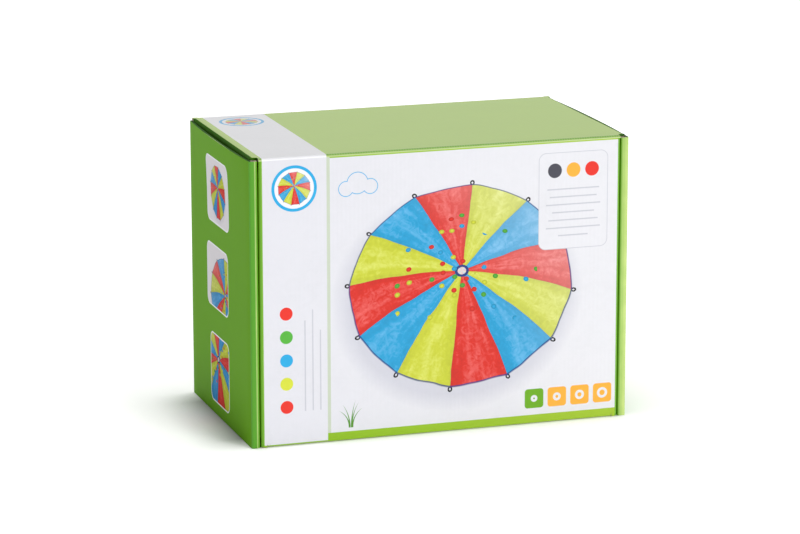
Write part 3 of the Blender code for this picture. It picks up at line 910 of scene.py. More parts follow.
# %% Fold, flap and return prints
ROLL_REACH = 1.2 * MM
RETURN_PRINT = 14 * MM

plain_print, tree, shader = material("plain_print", PRINT_ROUGHNESS, 0.35, 0.2)
place = object_place(tree)
across, deep, _ = split(tree, place)
on_roll = calc(tree, "LESS_THAN", deep, ROLL_FRONT + ROLL_REACH)
# Painted shade: the left roll's front is darker than the right one's.
shaded_left_roll = calc(tree, "MULTIPLY", on_roll, calc(tree, "LESS_THAN", across, -ROLL_INSIDE))
ink = colour_mix(tree, shaded_left_roll, GREEN, SHADED_ROLL_GREEN)
from_inner = calc(tree, "SUBTRACT", calc(tree, "ABSOLUTE", across), ROLL_INSIDE + ROLL_REACH)
inner_crease_sheen = use(tree, crease_sheen, From_crease=from_inner, Reach=0.7 * MM, Place=place)["Mask"]
from_bulge = calc(tree, "SUBTRACT", across, HALF_WIDTH - 1.8 * MM)
bulge = use(tree, crease_sheen, From_crease=from_bulge, Reach=6.0 * MM, Place=place)["Mask"]
# Painted sheen on the inner crease and on the right roll's bulge.
pale = calc(tree, "MAXIMUM", calc(tree, "MULTIPLY", inner_crease_sheen, 0.7), calc(tree, "MULTIPLY", bulge, 0.75))
colour = colour_mix(tree, calc(tree, "MULTIPLY", pale, on_roll), ink, SHEEN_GREEN)
finish_board(tree, shader, colour, calc(tree, "ADD", across, deep), place)

# The flaps' dark green is painted shade, for the slits that they show in.
shaded_flap_print, tree, shader = material("shaded_flap_print", 0.6, 0.04)
place = object_place(tree)
finish_board(tree, shader, SHADED_FLAP_GREEN, split(tree, place)[1], place)

return_print, tree, shader = material("return_print", PRINT_ROUGHNESS)
place = object_place(tree)
deep = split(tree, place)[1]
bare = calc(tree, "GREATER_THAN", deep, ROLL_FRONT + RETURN_PRINT)
finish_board(tree, shader, colour_mix(tree, bare, GREEN, BARE_LINER), deep, place)
print("plain prints:", plain_print.name, shaded_flap_print.name, return_print.name)

# %% [markdown]
# ### Print of the ends
#
# The ends are a duller green with three framed pictures: a whole wheel, and parts
# of two larger ones.

# %% Print of the ends
FRAME_CORNER = 7 * MM
FRAME_LINE = 1.1 * MM
FRAMES = ((4, 31, 178, 26), (7.5, 30.5, 110, 25), (4, 27, 37, 27.5))
WHEELS = (((3, 178), 21, 1.0, 0.3), ((-14, 96), 42, 0.8, 1.1), ((8, 38), 62, 0.8, 2.0))

end_print, tree, shader = material("end_print", 0.55, 0.04)
place = object_place(tree)
_, deep, up = split(tree, place)
colour = DARK_GREEN
for (middle, half, height, half_height), (centre, size, squash, turned) in zip(FRAMES, WHEELS):
    span = ((middle - half) * MM, (middle + half) * MM)
    rise = ((height - half_height) * MM, (height + half_height) * MM)
    colour = colour_mix(tree, box_mask(tree, deep, up, span, rise, FRAME_CORNER), colour, PANEL_WHITE)
    span = (span[0] + FRAME_LINE, span[1] - FRAME_LINE)
    rise = (rise[0] + FRAME_LINE, rise[1] - FRAME_LINE)
    picture = box_mask(tree, deep, up, span, rise, FRAME_CORNER - FRAME_LINE)
    colour = colour_mix(tree, picture, colour, PICTURE_GROUND)
    wheel_at = (centre[0] * MM, centre[1] * MM)
    colour = print_wheel(tree, colour, deep, up, wheel_at, size * MM, squash, turned, 0.2, picture, 0.55)
finish_board(tree, shader, colour, deep, place)
print("pictures on each end:", len(FRAMES))

# %% [markdown]
# ### Inside liner and raw edges
#
# The inside of the board is unprinted, a greyish brown with short fibres.  Its cut
# edges are paler, because they show the ends of the fibres.

# %% Inside liner and raw edges
FIBRE_BROWN = paint(168, 152, 128)
RIM_SHADES = (paint(222, 214, 192), paint(176, 160, 130))

inner_liner, tree, shader = material("inner_liner", 0.85, 0.25)
place = object_place(tree)
across, deep, _ = split(tree, place)
fibres = calc(tree, "MULTIPLY", noise_at(tree, place, 500, 5)["Fac"], 0.35)
speckle = colour_mix(tree, fibres, INSIDE_BOARD, FIBRE_BROWN)
finish_board(tree, shader, speckle, calc(tree, "ADD", across, deep), place, 0.35)

plain_rim, tree, shader = material("plain_rim", 0.9, 0.2)
fibres = noise_at(tree, object_place(tree), 700)["Fac"]
wire(tree, colour_mix(tree, fibres, *RIM_SHADES), shader.inputs["Base Color"])
print("inside and rim finishes:", inner_liner.name, plain_rim.name)

# %% [markdown]
# The ends' top edge shows a thin pale liner, and beside it a dark green of painted
# shade for the slit under the top.  It is one material for each end, which measures
# from that end's outside.


# %% Top edge of the ends, with painted shade
def rim_with_painted_shade(name, outside, inwards):
    """A die-cut top edge: a thin pale line of liner, then a dark green of painted shade."""
    made, tree, shader = material(name, 0.8, 0.2)
    across = split(tree, object_place(tree))[0]
    depth = calc(tree, "MULTIPLY", calc(tree, "SUBTRACT", across, outside), inwards)
    liner = calc(tree, "LESS_THAN", depth, 0.45 * MM)
    # Painted shade: the dark green stands for the shadowed slit.
    shades = (paint(52, 92, 30), paint(188, 206, 150))
    wire(tree, colour_mix(tree, liner, *shades), shader.inputs["Base Color"])
    return made


side_rim = rim_with_painted_shade("side_rim", -HALF_WIDTH - LEAN, 1)
side_rim_right = rim_with_painted_shade("side_rim_right", HALF_WIDTH + LEAN, -1)
print("rims of the ends:", side_rim.name, side_rim_right.name)

# %% [markdown]
# ## The ends and the back
#
# One long strip of board goes round the back and both ends, rolls over each front
# edge and returns inside, where two tabs lock into slots in the back.  By hand one
# would extrude the free edge of a panel, panel by panel, then bevel the creases,
# and give the sheet its thickness last, inwards.

# %% Wrap: back, ends, rolls and returns
WRAP_BEND = FOLD * 0.85

wrap = panel("carton_wrap", (-HALF_WIDTH, BACK, 0), (2 * HALF_WIDTH, 0, 0), (0, 0, SIDE_TOP))
edit(wrap)
creases = []
for side in (-1, 1):
    x = side * HALF_WIDTH
    inner_x = side * ROLL_INSIDE
    moves = (
        ((x, BACK), (0, ROLL_FRONT - BACK)),
        ((x, ROLL_FRONT), (inner_x - x, 0)),
        ((inner_x, ROLL_FRONT), (0, BACK - LAYER - ROLL_FRONT)),
    )
    for at, step in moves:
        creases.append(Vector((*at, SIDE_TOP / 2)))
        pick_edge_at(creases[-1])
        extrude((*step, 0))
pick("EDGE", lambda middle: any((middle - crease).length < NEAR for crease in creases))
bpy.ops.mesh.bevel(offset=WRAP_BEND, segments=5, affect="EDGES")
face_out((0, BACK, SIDE_TOP / 2), (0, 1, 0))
print("creases bevelled:", len(creases))

# %% [markdown]
# The free edge of each return gets its two lock tabs.  The sheet is cut above and
# below each tab, and the short pieces of edge between the cuts are drawn out.  The
# returns' lowest strip is cut away, because the bottom wall lies there.

# %% Lock tabs
TAB_HALF = 14 * MM
TAB_HEIGHTS = (TOP / 2 - 52 * MM, TOP / 2 + 52 * MM)


def in_tab(height, reach):
    """Whether a height is within the reach of a tab's middle."""
    return any(abs(height - middle) < reach for middle in TAB_HEIGHTS)


cut((0, 0, LAYER), (0, 0, 1))
for height in TAB_HEIGHTS:
    for end in (-TAB_HALF, TAB_HALF):
        cut((0, 0, height + end), (0, 0, 1))
pick("FACE", lambda middle: middle.z < LAYER and (
    abs(middle.x) < HALF_WIDTH - FOLD - NEAR and middle.y > ROLL_FRONT + FOLD))
bpy.ops.mesh.delete(type="FACE")
tab_edges = pick("EDGE", lambda middle: abs(middle.y - (BACK - LAYER)) < NEAR
                 and abs(abs(middle.x) - ROLL_INSIDE) < NEAR and in_tab(middle.z, TAB_HALF - NEAR))
extrude((0, LAYER - GAP / 2, 0))
print("lock tabs drawn out:", tab_edges)

# %% [markdown]
# Each tab goes through a slot in the back.  The back's face alone is cut along the
# slot's four sides with the bisect operator, and the small faces inside the cuts
# are deleted, while the sheet is still a thin surface: its thickness comes last,
# and then closes the slot's rim too.

# %% Slots in the back
SLOT_ACROSS = (ROLL_INSIDE - GAP, ROLL_INSIDE + BOARD + GAP)
SLOT_HALF = TAB_HALF + GAP


def on_back(middle):
    """Whether a face lies on the flat of the back."""
    return abs(middle.y - BACK) < NEAR and abs(middle.x) < HALF_WIDTH - FOLD


for side in (-1, 1):
    for x in SLOT_ACROSS:
        pick("FACE", on_back)
        bpy.ops.mesh.bisect(plane_co=(side * x, 0, 0), plane_no=(1, 0, 0))
for height in TAB_HEIGHTS:
    for z in (height - SLOT_HALF, height + SLOT_HALF):
        pick("FACE", on_back)
        bpy.ops.mesh.bisect(plane_co=(0, 0, z), plane_no=(0, 0, 1))
slot_faces = pick("FACE", lambda middle: abs(middle.y - BACK) < NEAR
                  and SLOT_ACROSS[0] < abs(middle.x) < SLOT_ACROSS[1] and in_tab(middle.z, SLOT_HALF))
bpy.ops.mesh.delete(type="FACE")
print("faces cut out for the four slots:", slot_faces)

# %% [markdown]
# In the photograph a dark slit shows between the top and the left end, because the
# end's free top edge stands off a little.  Each end gets a few more cuts near its
# top, and its points then lean out in a soft curve, most at the middle of the edge.
# The roll isn't pressed flat either: its inner crease bulges towards the lid.

# %% Ends that stand off at the top
LEAN_DEPTH = 60 * MM
LEAN_INSET = 6 * MM
ROLL_BULGE = 0.9 * MM
ROLL_BEND = WRAP_BEND + NEAR


def on_end(corner):
    """Whether a corner lies on the flat of an end."""
    return abs(corner.x) > HALF_WIDTH - NEAR


for drop in (3, 8, 16, 28, 42, 60):
    pick("FACE", on_end, every=True)
    bpy.ops.mesh.bisect(plane_co=(0, 0, SIDE_TOP - drop * MM), plane_no=(0, 0, 1))
for y in np.linspace(FRONT + 14 * MM, BACK - 14 * MM, 12):
    pick("FACE", on_end, every=True)
    bpy.ops.mesh.bisect(plane_co=(0, y, 0), plane_no=(0, 1, 0))
leave()
for vert in wrap.data.vertices:
    if on_end(vert.co):
        rise = max(0, 1 - (SIDE_TOP - vert.co.z) / LEAN_DEPTH)
        along = (vert.co.y - FRONT - LEAN_INSET) / (BACK - FRONT - 2 * LEAN_INSET)
        arch = math.sin(math.pi * max(0, min(1, along))) ** 0.7
        vert.co.x += math.copysign(LEAN * rise ** 2 * arch, vert.co.x)
    elif abs(vert.co.x) < ROLL_INSIDE + ROLL_BEND and vert.co.y < ROLL_FRONT + ROLL_BEND:
        vert.co.x -= math.copysign(ROLL_BULGE, vert.co.x)
give_thickness(wrap)
smooth(wrap)
print("the ends lean out by", round(LEAN / MM, 1), "mm at most")

# %% [markdown]
# The strip is one sheet, but its print changes from face to face, so the faces are
# sorted by the way they look: pictures on the ends, the top's print with its painted
# light and the white band on the back, and the corrugated cut edge, with its painted
# shade, on top of the rolled ends.

# %% Sort the faces of the wrap
OUTSIDE, RIM = 0, 2
PICTURES_SLOT, BACK_SLOT, LEFT_RIM, RIGHT_RIM, RETURN_SLOT = 3, 4, 5, 6, 7
for polygon in wrap.data.polygons:
    at, way, index = polygon.center, polygon.normal, polygon.material_index
    outwards = way.x * math.copysign(1, at.x)
    if index == OUTSIDE and outwards > 0.95 and abs(at.x) > HALF_WIDTH - NEAR:
        polygon.material_index = PICTURES_SLOT
    elif index == OUTSIDE and way.y > 0.5 and at.y > BACK - NEAR:
        polygon.material_index = BACK_SLOT
    elif index == OUTSIDE and abs(way.x) > 0.5 and abs(at.x) < ROLL_INSIDE + NEAR:
        polygon.material_index = RETURN_SLOT
    elif index == RIM and abs(way.z) > 0.5 and abs(at.x) > HALF_WIDTH - BOARD:
        polygon.material_index = LEFT_RIM if at.x < 0 else RIGHT_RIM
wrap_finishes = [plain_print, inner_liner, plain_rim, end_print, top_print]
dress(wrap, wrap_finishes + [side_rim, side_rim_right, return_print])
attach(wrap, "tray")
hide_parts("back_panel", *(f"side_{part}_{hand}" for part in ("wall", "roll", "return")
                                  for hand in ("left", "right")))
print("wrap faces:", len(wrap.data.polygons))

# %% [markdown]
# ## The top and the bottom
#
# Each level wall has a dust flap at both ends, which goes between the two layers of
# the rolled end, and a lip that folds down to the back.  The top is notched at its
# front corners, where the photograph shows a dark hole.

# %% Level walls
NOTCH_DEPTH = 5.5 * MM
FLAP_TAPER = 0.89
FLAP_CORNER = 6 * MM
FLAP_SLOT = 3


def level_wall(name, z, up):
    """A wall at a height, whose flaps and lip go the way that up gives."""
    front = FRONT + FOLD
    notch = FRONT + NOTCH_DEPTH
    flap_front = flap_low[1]
    flap_back = flap_high[1]
    wall = panel(name, (-WALL_HALF, front, z), (2 * WALL_HALF, 0, 0), (0, BACK - front, 0))
    edit(wall)
    for y in (notch, flap_front, flap_back):
        cut((0, y, 0), (0, 1, 0))
    for x in (-LID_HALF, LID_HALF):
        cut((x, 0, 0), (1, 0, 0))
    pick("FACE", lambda middle: middle.y < notch and abs(middle.x) > LID_HALF)
    bpy.ops.mesh.delete(type="FACE")
    depth = flap_high[2] - flap_low[2] + LAYER
    for side in (-1, 1):
        pick("EDGE", lambda middle: abs(middle.x - side * WALL_HALF) < NEAR
             and flap_front < middle.y < flap_back)
        extrude((0, 0, up * depth))
        tip = Vector((side * WALL_HALF, (flap_front + flap_back) / 2, z + up * depth))
        pick_edge_at(tip)
        bpy.ops.transform.resize(value=(1, FLAP_TAPER, 1), center_override=tuple(tip))
        pick("VERT", lambda middle: abs(middle.z - tip.z) < NEAR and middle.x * side > 0)
        bpy.ops.mesh.bevel(offset=FLAP_CORNER, segments=5, affect="VERTICES")
    pick("EDGE", lambda middle: abs(middle.y - BACK) < NEAR and abs(middle.x) < LID_HALF)
    extrude((0, 0, up * LAYER))
    pick("EDGE", lambda middle: abs(middle.z - z) < NEAR and (
        (abs(abs(middle.x) - WALL_HALF) < NEAR and flap_front < middle.y < flap_back)
        or (abs(middle.y - BACK) < NEAR and abs(middle.x) < LID_HALF)))
    bpy.ops.mesh.bevel(offset=FOLD * 0.9, segments=5, affect="EDGES")
    face_out((0, 0, z), (0, 0, -up))
    leave()
    give_thickness(wall)
    smooth(wall)
    # Flaps and the cut edges in the notch take the flap print's painted shade.
    for polygon in wall.data.polygons:
        at = polygon.center
        on_flap = polygon.material_index == OUTSIDE and abs(at.x) > WALL_HALF - 0.8 * FOLD
        in_notch = polygon.material_index == RIM and abs(at.x) > LID_HALF - NEAR and at.y < notch + NEAR
        if on_flap or in_notch:
            polygon.material_index = FLAP_SLOT
    dress(wall, [top_print, inner_liner, plain_rim, shaded_flap_print])
    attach(wall, "tray")
    return wall


top_wall = level_wall("carton_top", TOP, -1)
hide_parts("top_wall", "top_dust_flap_left", "top_dust_flap_right")
bottom_wall = level_wall("carton_bottom", 0.0, 1)
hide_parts("bottom_wall", "bottom_dust_flap_left", "bottom_dust_flap_right")
print("level walls:", top_wall.name, "and", bottom_wall.name)

# %% [markdown]
# ## The lid
#
# The lid is one panel.  Its top edge folds into the top wall, its sides fold into
# the ears, and its lower edge is nosed over.  The folds are separate round strips
# between the two panels.

# %% Lid panel
SIDE_FOLD = LID_HALF - FOLD
TUCK_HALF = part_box("lid_tuck_flap")[1][0]
TUCK_PLAY = 0.5 * MM

lid_rise = lid_high[2] - lid_low[2]
lid = panel("carton_lid", (-SIDE_FOLD, FRONT, lid_low[2]), (2 * SIDE_FOLD, 0, 0), (0, 0, lid_rise))
edit(lid)
cut((0, 0, lid_low[2] + FOLD), (0, 0, 1))
for side in (-1, 1):
    cut((side * (TUCK_HALF + TUCK_PLAY), 0, 0), (1, 0, 0))
pick("FACE", lambda middle: middle.z < lid_low[2] + FOLD and abs(middle.x) < SIDE_FOLD - 2 * FOLD)
bpy.ops.mesh.delete(type="FACE")
face_out((0, FRONT, TOP / 2), (0, -1, 0))
leave()
give_thickness(lid)
smooth(lid)
dress(lid, [lid_print, inner_liner, plain_rim])
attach(lid, "lid")
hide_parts("lid_panel")
print("lid:", round(2 * SIDE_FOLD / MM, 1), "x", round(lid_rise / MM, 1), "mm between its folds")

# %% [markdown]
# A crease in board is round.  A fold strip starts as one edge, which the Spin tool
# turns about the centre of the bend.  The first strip folds the lid into the top wall.


# %% Fold strips
def fold_strip(name, first, centre, run, degrees, finish):
    """A round strip of board: an edge along a run, turned from first about a centre."""
    first, centre, run = Vector(first), Vector(centre), Vector(run)
    bpy.ops.object.select_all(action="DESELECT")
    bpy.ops.mesh.primitive_plane_add(size=1)
    strip = bpy.context.object
    strip.name = name
    strip.data.name = name
    edit(strip)
    bpy.ops.mesh.select_all(action="SELECT")
    bpy.ops.mesh.delete(type="ONLY_FACE")
    pick("EDGE", lambda middle: middle.x > -NEAR or abs(middle.y) > NEAR)
    bpy.ops.mesh.delete(type="EDGE")
    leave()
    for vert, place in zip(strip.data.vertices, (first, first + run)):
        vert.co = place
    edit(strip)
    bpy.ops.mesh.select_all(action="SELECT")
    axis = run.normalized() * (1 if degrees > 0 else -1)
    bpy.ops.mesh.spin(steps=7, angle=math.radians(abs(degrees)), center=tuple(centre), axis=tuple(-axis))
    outward = Matrix.Rotation(math.radians(abs(degrees)) / 2, 3, axis) @ (first - centre).normalized()
    face_out(centre + run / 2 + outward * FOLD, outward)
    leave()
    give_thickness(strip)
    smooth(strip, 60)
    dress(strip, [finish, inner_liner, plain_rim])
    return strip


lid_fold = fold_strip(
    "lid_fold",
    (-LID_HALF, FRONT + FOLD, TOP),
    (-LID_HALF, FRONT + FOLD, TOP - FOLD),
    (2 * LID_HALF, 0, 0),
    90,
    top_print,
)
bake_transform(lid_fold)
print("lid fold:", len(lid_fold.data.polygons), "faces")

# %% [markdown]
# ### Ears and tuck flap
#
# An ear folds in from each side of the lid and slides along the rolled end, which
# keeps the lid shut.  Its free end is narrower, with round corners, so that it
# finds its way in.

# %% Ears
EAR_TAPER = 0.88

for side, hand in ((-1, "left"), (1, "right")):
    ear_low, ear_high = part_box(f"lid_ear_{hand}")
    x = side * LID_HALF
    root = FRONT + FOLD
    ear_rise = (0, 0, ear_high[2] - ear_low[2])
    ear = panel(f"ear_{hand}", (x, root, ear_low[2]), (0, ear_high[1] - root, 0), ear_rise)
    edit(ear)
    tip = Vector((x, ear_high[1], (ear_low[2] + ear_high[2]) / 2))
    pick_edge_at(tip)
    bpy.ops.transform.resize(value=(1, 1, EAR_TAPER), center_override=tuple(tip))
    pick("VERT", lambda middle: abs(middle.y - tip.y) < NEAR)
    bpy.ops.mesh.bevel(offset=FLAP_CORNER, segments=5, affect="VERTICES")
    face_out(tip, (side, 0, 0))
    leave()
    give_thickness(ear)
    smooth(ear)
    dress(ear, [plain_print, inner_liner, plain_rim])
    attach(ear, f"ear_{hand}")
    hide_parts(f"lid_ear_{hand}")
    low = lid_low[2] + GAP
    ear_fold = fold_strip(
        f"ear_fold_{hand}",
        (side * SIDE_FOLD, FRONT, low),
        (side * SIDE_FOLD, root, low),
        (0, 0, lid_high[2] - low),
        90 * side,
        plain_print,
    )
    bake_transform(ear_fold)
    print(ear.name, "reaches", round((ear_high[1] - root) / MM, 1), "mm back")

# %% [markdown]
# The tuck flap bends in from the lid's lower edge, a little more than square,
# because the toy's base pushes its free edge up.  The fold is a strip that bends
# between the lid and the flap.

# %% Tuck flap and its fold
TUCK_TILT = math.radians(10)
TUCK_LENGTH = 32 * MM
TUCK_CORNER = 9 * MM

crease = Vector((0, FRONT + BOARD, lid_low[2] + BOARD))
flap_way = Vector((0, math.cos(TUCK_TILT), math.sin(TUCK_TILT)))
flap_down = Vector((0, math.sin(TUCK_TILT), -math.cos(TUCK_TILT)))
flap_reach = flap_way * (TUCK_LENGTH - GAP)
root = crease + flap_down * BOARD + flap_way * GAP
tuck = panel("tuck_flap", root - Vector((TUCK_HALF, 0, 0)), (2 * TUCK_HALF, 0, 0), flap_reach)
edit(tuck)
tip = root + flap_reach
pick("VERT", lambda middle: abs(middle.y - tip.y) < NEAR)
bpy.ops.mesh.bevel(offset=TUCK_CORNER, segments=8, affect="VERTICES")
face_out(root, flap_down)
leave()
give_thickness(tuck)
smooth(tuck)
dress(tuck, [plain_print, inner_liner, plain_rim])
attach(tuck, "tuck_flap")
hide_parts("lid_tuck_flap")

nose_height = lid_low[2] + FOLD
tuck_fold = fold_strip(
    "tuck_fold",
    (-TUCK_HALF, FRONT, nose_height),
    (-TUCK_HALF, FRONT + FOLD, nose_height),
    (2 * TUCK_HALF, 0, 0),
    90 + math.degrees(TUCK_TILT),
    lid_print,
)
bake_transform(tuck_fold)
print("tuck flap:", round(2 * TUCK_HALF / MM, 1), "x", round(TUCK_LENGTH / MM, 1), "mm")

# %% [markdown]
# ## Cloth, net and webbing
#
# Play parachutes are sewn from thin nylon with a fine raised grid, which stops a
# tear.  The grid's lines come from the fractions of two coordinates, and noise adds
# the creases that thin nylon always has.

# %% Group: ripstop grid
RIPSTOP_PITCH = 5 * MM
LINE_SHARE = 0.09

ripstop, inside, out = new_group(
    "Ripstop grid", [("Place", "vector")], [("Line", "number"), ("Height", "number")]
)
lines = []
for axis in split(ripstop, inside["Place"])[:2]:
    cells = calc(ripstop, "ADD", calc(ripstop, "DIVIDE", axis, RIPSTOP_PITCH), 200.0)
    lines.append(calc(ripstop, "LESS_THAN", calc(ripstop, "FRACT", cells), LINE_SHARE))
line = calc(ripstop, "MAXIMUM", *lines)
crinkles = noise_at(ripstop, inside["Place"], 70, 6, distortion=1.2)["Fac"]
height = calc(ripstop, "MULTIPLY", crinkles, 1.2)
height = calc(ripstop, "ADD", height, calc(ripstop, "MULTIPLY", line, 0.04))
wire(ripstop, line, out["Line"])
wire(ripstop, height, out["Height"])
print("a grid of", round(RIPSTOP_PITCH / MM), "mm")

# %% [markdown]
# Webbing is a flat woven tape.  Its ribs run along it, and its threads cross them at
# a slant.  Two sines give both as a height.

# %% Group: webbing ribs
RIB_PITCH = 1.4 * MM

ribs, inside, out = new_group(
    "Webbing ribs", [("Across", "number"), ("Along", "number")], [("Height", "number")]
)
wave = calc(ribs, "SINE", calc(ribs, "MULTIPLY", inside["Across"], math.pi / RIB_PITCH))
slant = calc(ribs, "ADD", calc(ribs, "MULTIPLY", inside["Along"], 2.0), inside["Across"])
twill = calc(ribs, "SINE", calc(ribs, "MULTIPLY", slant, 2 * math.pi / RIB_PITCH))
ribbed = calc(ribs, "ADD", calc(ribs, "ABSOLUTE", wave), calc(ribs, "MULTIPLY", twill, 0.35))
wire(ribs, ribbed, out["Height"])
print("groups for cloth:", ripstop.name, "and", ribs.name)

# %% [markdown]
# Dyed nylon has a soft sheen and shows every crease.  The webbing is spun black
# polyester, duller and a little grey on its raised ribs.  The thread is light, as
# the pack's seams are sewn to be seen.

# %% Cloth and webbing finishes
WEBBING_SHADES = (paint(12, 12, 14), paint(52, 52, 58))


def darker(shade, share):
    """A shade with a share of its light."""
    return [part * share for part in shade]


def nylon(name, shade):
    """Thin dyed nylon: a soft sheen, a fine grid and small crinkles."""
    made, tree, shader = material(name, 0.5, 0.35)
    surface = use(tree, ripstop, Place=object_place(tree))
    colour = colour_mix(tree, calc(tree, "MULTIPLY", surface["Line"], 0.18), shade, darker(shade, 0.6))
    wire(tree, colour, shader.inputs["Base Color"])
    shader.inputs["Sheen Weight"].default_value = 0.25
    give_bump(tree, shader, surface["Height"], 1.6 * MM)
    return made


def webbing(name, along_axis):
    """Black webbing whose ribs run along an axis."""
    made, tree, shader = material(name, 0.65, 0.3)
    axes = dict(zip("XYZ", split(tree, object_place(tree))))
    surface = use(tree, ribs, Across=axes["X"], Along=axes[along_axis])
    raised = calc(tree, "MULTIPLY", surface["Height"], 0.4)
    wire(tree, colour_mix(tree, raised, *WEBBING_SHADES), shader.inputs["Base Color"])
    give_bump(tree, shader, surface["Height"], 0.25 * MM)
    return made


DYES = {"nylon_red": CLOTH_RED, "nylon_yellow": CLOTH_YELLOW, "nylon_blue": CLOTH_BLUE}
CLOTHS = [nylon(name, shade) for name, shade in DYES.items()]
hem_navy = nylon("hem_navy", HEM_NAVY)
strap_webbing = webbing("strap_webbing", "Z")
handle_webbing = webbing("handle_webbing", "Y")
stitch_thread, tree, shader = material("stitch_thread", 0.6)
wire(tree, paint(196, 198, 204), shader.inputs["Base Color"])
print("cloth finishes:", [cloth.name for cloth in CLOTHS])

# %% [markdown]
# ## The folded parachute
#
# Each of the twelve gores is a triangle of cloth, half the parachute's span long.
# For sale it is folded in half twice, to four plies, and the four plies are pleated
# to and fro over one another.  By hand one starts with a single edge across the
# cloth and extrudes it along the whole zigzag.  That edge first runs along one
# ply, turns, and comes back along the next, so that the gore stays one sheet.

# %% Sizes of a folded gore
gore_boxes = [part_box(f"gore_{number:02d}") for number in range(1, GORES + 1)]
GORE_HALF_WIDTH = min(high[0] for low, high in gore_boxes)
PACK_FRONT = min(low[1] for low, high in gore_boxes)
PACK_BACK = max(high[1] for low, high in gore_boxes)
PACK_MIDDLE = (PACK_FRONT + PACK_BACK) / 2
PACK_HALF_DEPTH = (PACK_BACK - PACK_FRONT) / 2
PACK_HALF_WIDTH = max(high[0] for low, high in gore_boxes)
PACK_BASE = gore_boxes[0][0][2]
GORE_PITCH = 7.2 * MM
GORE_HEIGHT = 6.9 * MM
PACK_CROWN = 4.8 * MM
PASSES = 4
PLIES = 4
PASS_PITCH = GORE_HEIGHT / PASSES
PLY_PITCH = PASS_PITCH / PLIES

# %% [markdown]
# One pass of the zigzag is as deep as the pack, and the turns between passes are
# half circles.  A ply to the outside of a turn goes round it in a wider circle.


# %% The zigzag of a gore
def ply_path(offset):
    """Places (y, z) along one ply, which lies to the left of the zigzag by an offset."""
    turn_radius = PASS_PITCH / 2
    reach = PACK_HALF_DEPTH - turn_radius - (PLIES - 1) / 2 * PLY_PITCH - 0.2 * MM
    path = []
    for number in range(PASSES):
        way = 1 if number % 2 == 0 else -1
        height = (number - (PASSES - 1) / 2) * PASS_PITCH
        for step in range(13):
            path.append((way * reach * (step / 6 - 1), height + way * offset))
        if number < PASSES - 1:
            radius = turn_radius - way * offset
            for step in range(1, 6):
                swing = math.pi * step / 6
                path.append((way * (reach + radius * math.sin(swing)),
                             height + turn_radius - radius * math.cos(swing)))
    return path


zigzag = []
for number in range(PLIES):
    path = ply_path(((PLIES - 1) / 2 - number) * PLY_PITCH)
    zigzag += path if number % 2 == 0 else path[::-1]

bpy.ops.object.select_all(action="DESELECT")
bpy.ops.mesh.primitive_grid_add(x_subdivisions=64, y_subdivisions=1, size=2)
gore_pattern = bpy.context.object
gore_pattern.name = "gore_pattern"
gore_pattern.scale = (GORE_HALF_WIDTH, 0.1, 1)
gore_pattern.location = (0, PACK_MIDDLE + zigzag[0][0] + 0.1, PACK_BASE + GORE_HEIGHT / 2 + zigzag[0][1])
bpy.ops.object.transform_apply(location=True, rotation=True, scale=True)
edit(gore_pattern)
keep = PACK_MIDDLE + zigzag[0][0]
pick("VERT", lambda middle: middle.y > keep + 0.1)
bpy.ops.mesh.delete(type="VERT")
pick("EDGE", lambda middle: abs(middle.y - keep) < NEAR)
for here, there in zip(zigzag, zigzag[1:]):
    extrude((0, there[0] - here[0], there[1] - here[1]))
leave()
gore_area = sum(polygon.area for polygon in gore_pattern.data.polygons)
print("cloth in one folded gore:", round(gore_area, 3), "square metres")

# %% [markdown]
# Folded cloth is never flat.  The pack bulges in its middle, the pleats end
# unevenly, and long soft ripples run through all layers at once.  By hand that is
# proportional editing; here a formula moves each point, and because all gores
# share it, no layer goes through the next.


# %% Bulge and ripples of the pack
def shape(piece, move):
    """Move every point of a piece by a formula of its place."""
    for vert in piece.data.vertices:
        vert.co = move(vert.co.copy())
    piece.data.update()


def crown(x, y):
    """How far the pack's middle bulges up, from 0 to its full height."""
    across = min(abs(x) / PACK_HALF_WIDTH, 1)
    deep = min(abs(y - PACK_MIDDLE) / PACK_HALF_DEPTH, 1)
    return PACK_CROWN * (1 - across ** 4) * (1 - deep ** 4)


def ripple(x, y):
    """Soft ripples, which all layers share; they only sink, so nothing above is touched."""
    long_wave = 0.5 + 0.5 * noise.noise(Vector((x * 20, y * 12, 3.7)))
    short_wave = 0.5 + 0.5 * noise.noise(Vector((x * 55 + 4, y * 26, 9.1)))
    return -MM * (0.9 * long_wave + 0.7 * short_wave)


def settle(gore_number, lift):
    """The move that settles one gore in the pack."""
    middle_height = PACK_BASE + (gore_number - 0.5) * GORE_PITCH - GAP / 2

    def move(place):
        x, y, z = place
        row = math.floor((z - middle_height) / PASS_PITCH + PASSES / 2)
        row = max(0, min(PASSES - 1, row))
        front = y < PACK_MIDDLE
        pleat = (row + 1) // 2 if front else row // 2
        deep = abs(y - PACK_MIDDLE) / PACK_HALF_DEPTH
        edge = max(0, (deep - 0.75) / 0.25) ** 2
        seed = pleat * 5.1 + gore_number * 9.7
        long_pull = 0.7 * noise.noise(Vector((x * 24, seed, 1.3)))
        short_pull = 0.25 * noise.noise(Vector((x * 80, seed, 5.3)))
        pull = max(0, min(1, 0.5 + long_pull + short_pull))
        draw = 4.2 * MM * edge * pull * (-1 if y > PACK_MIDDLE else 1)
        across = abs(x) / GORE_HALF_WIDTH
        end = max(0, (across - 0.8) / 0.2) ** 2
        ragged = 0.5 + 0.5 * noise.noise(Vector((y * 40, pleat * 3.3 + gore_number * 4.1, 8.2)))
        pinch = 4.5 * MM * max(0, (across * deep)) ** 6
        new_x = x - math.copysign(2.5 * MM * end * ragged + pinch, x)
        new_y = y + draw - math.copysign(pinch, y - PACK_MIDDLE)
        return Vector((new_x, new_y, z + crown(x, y) * lift + ripple(x, y) * lift))

    return move


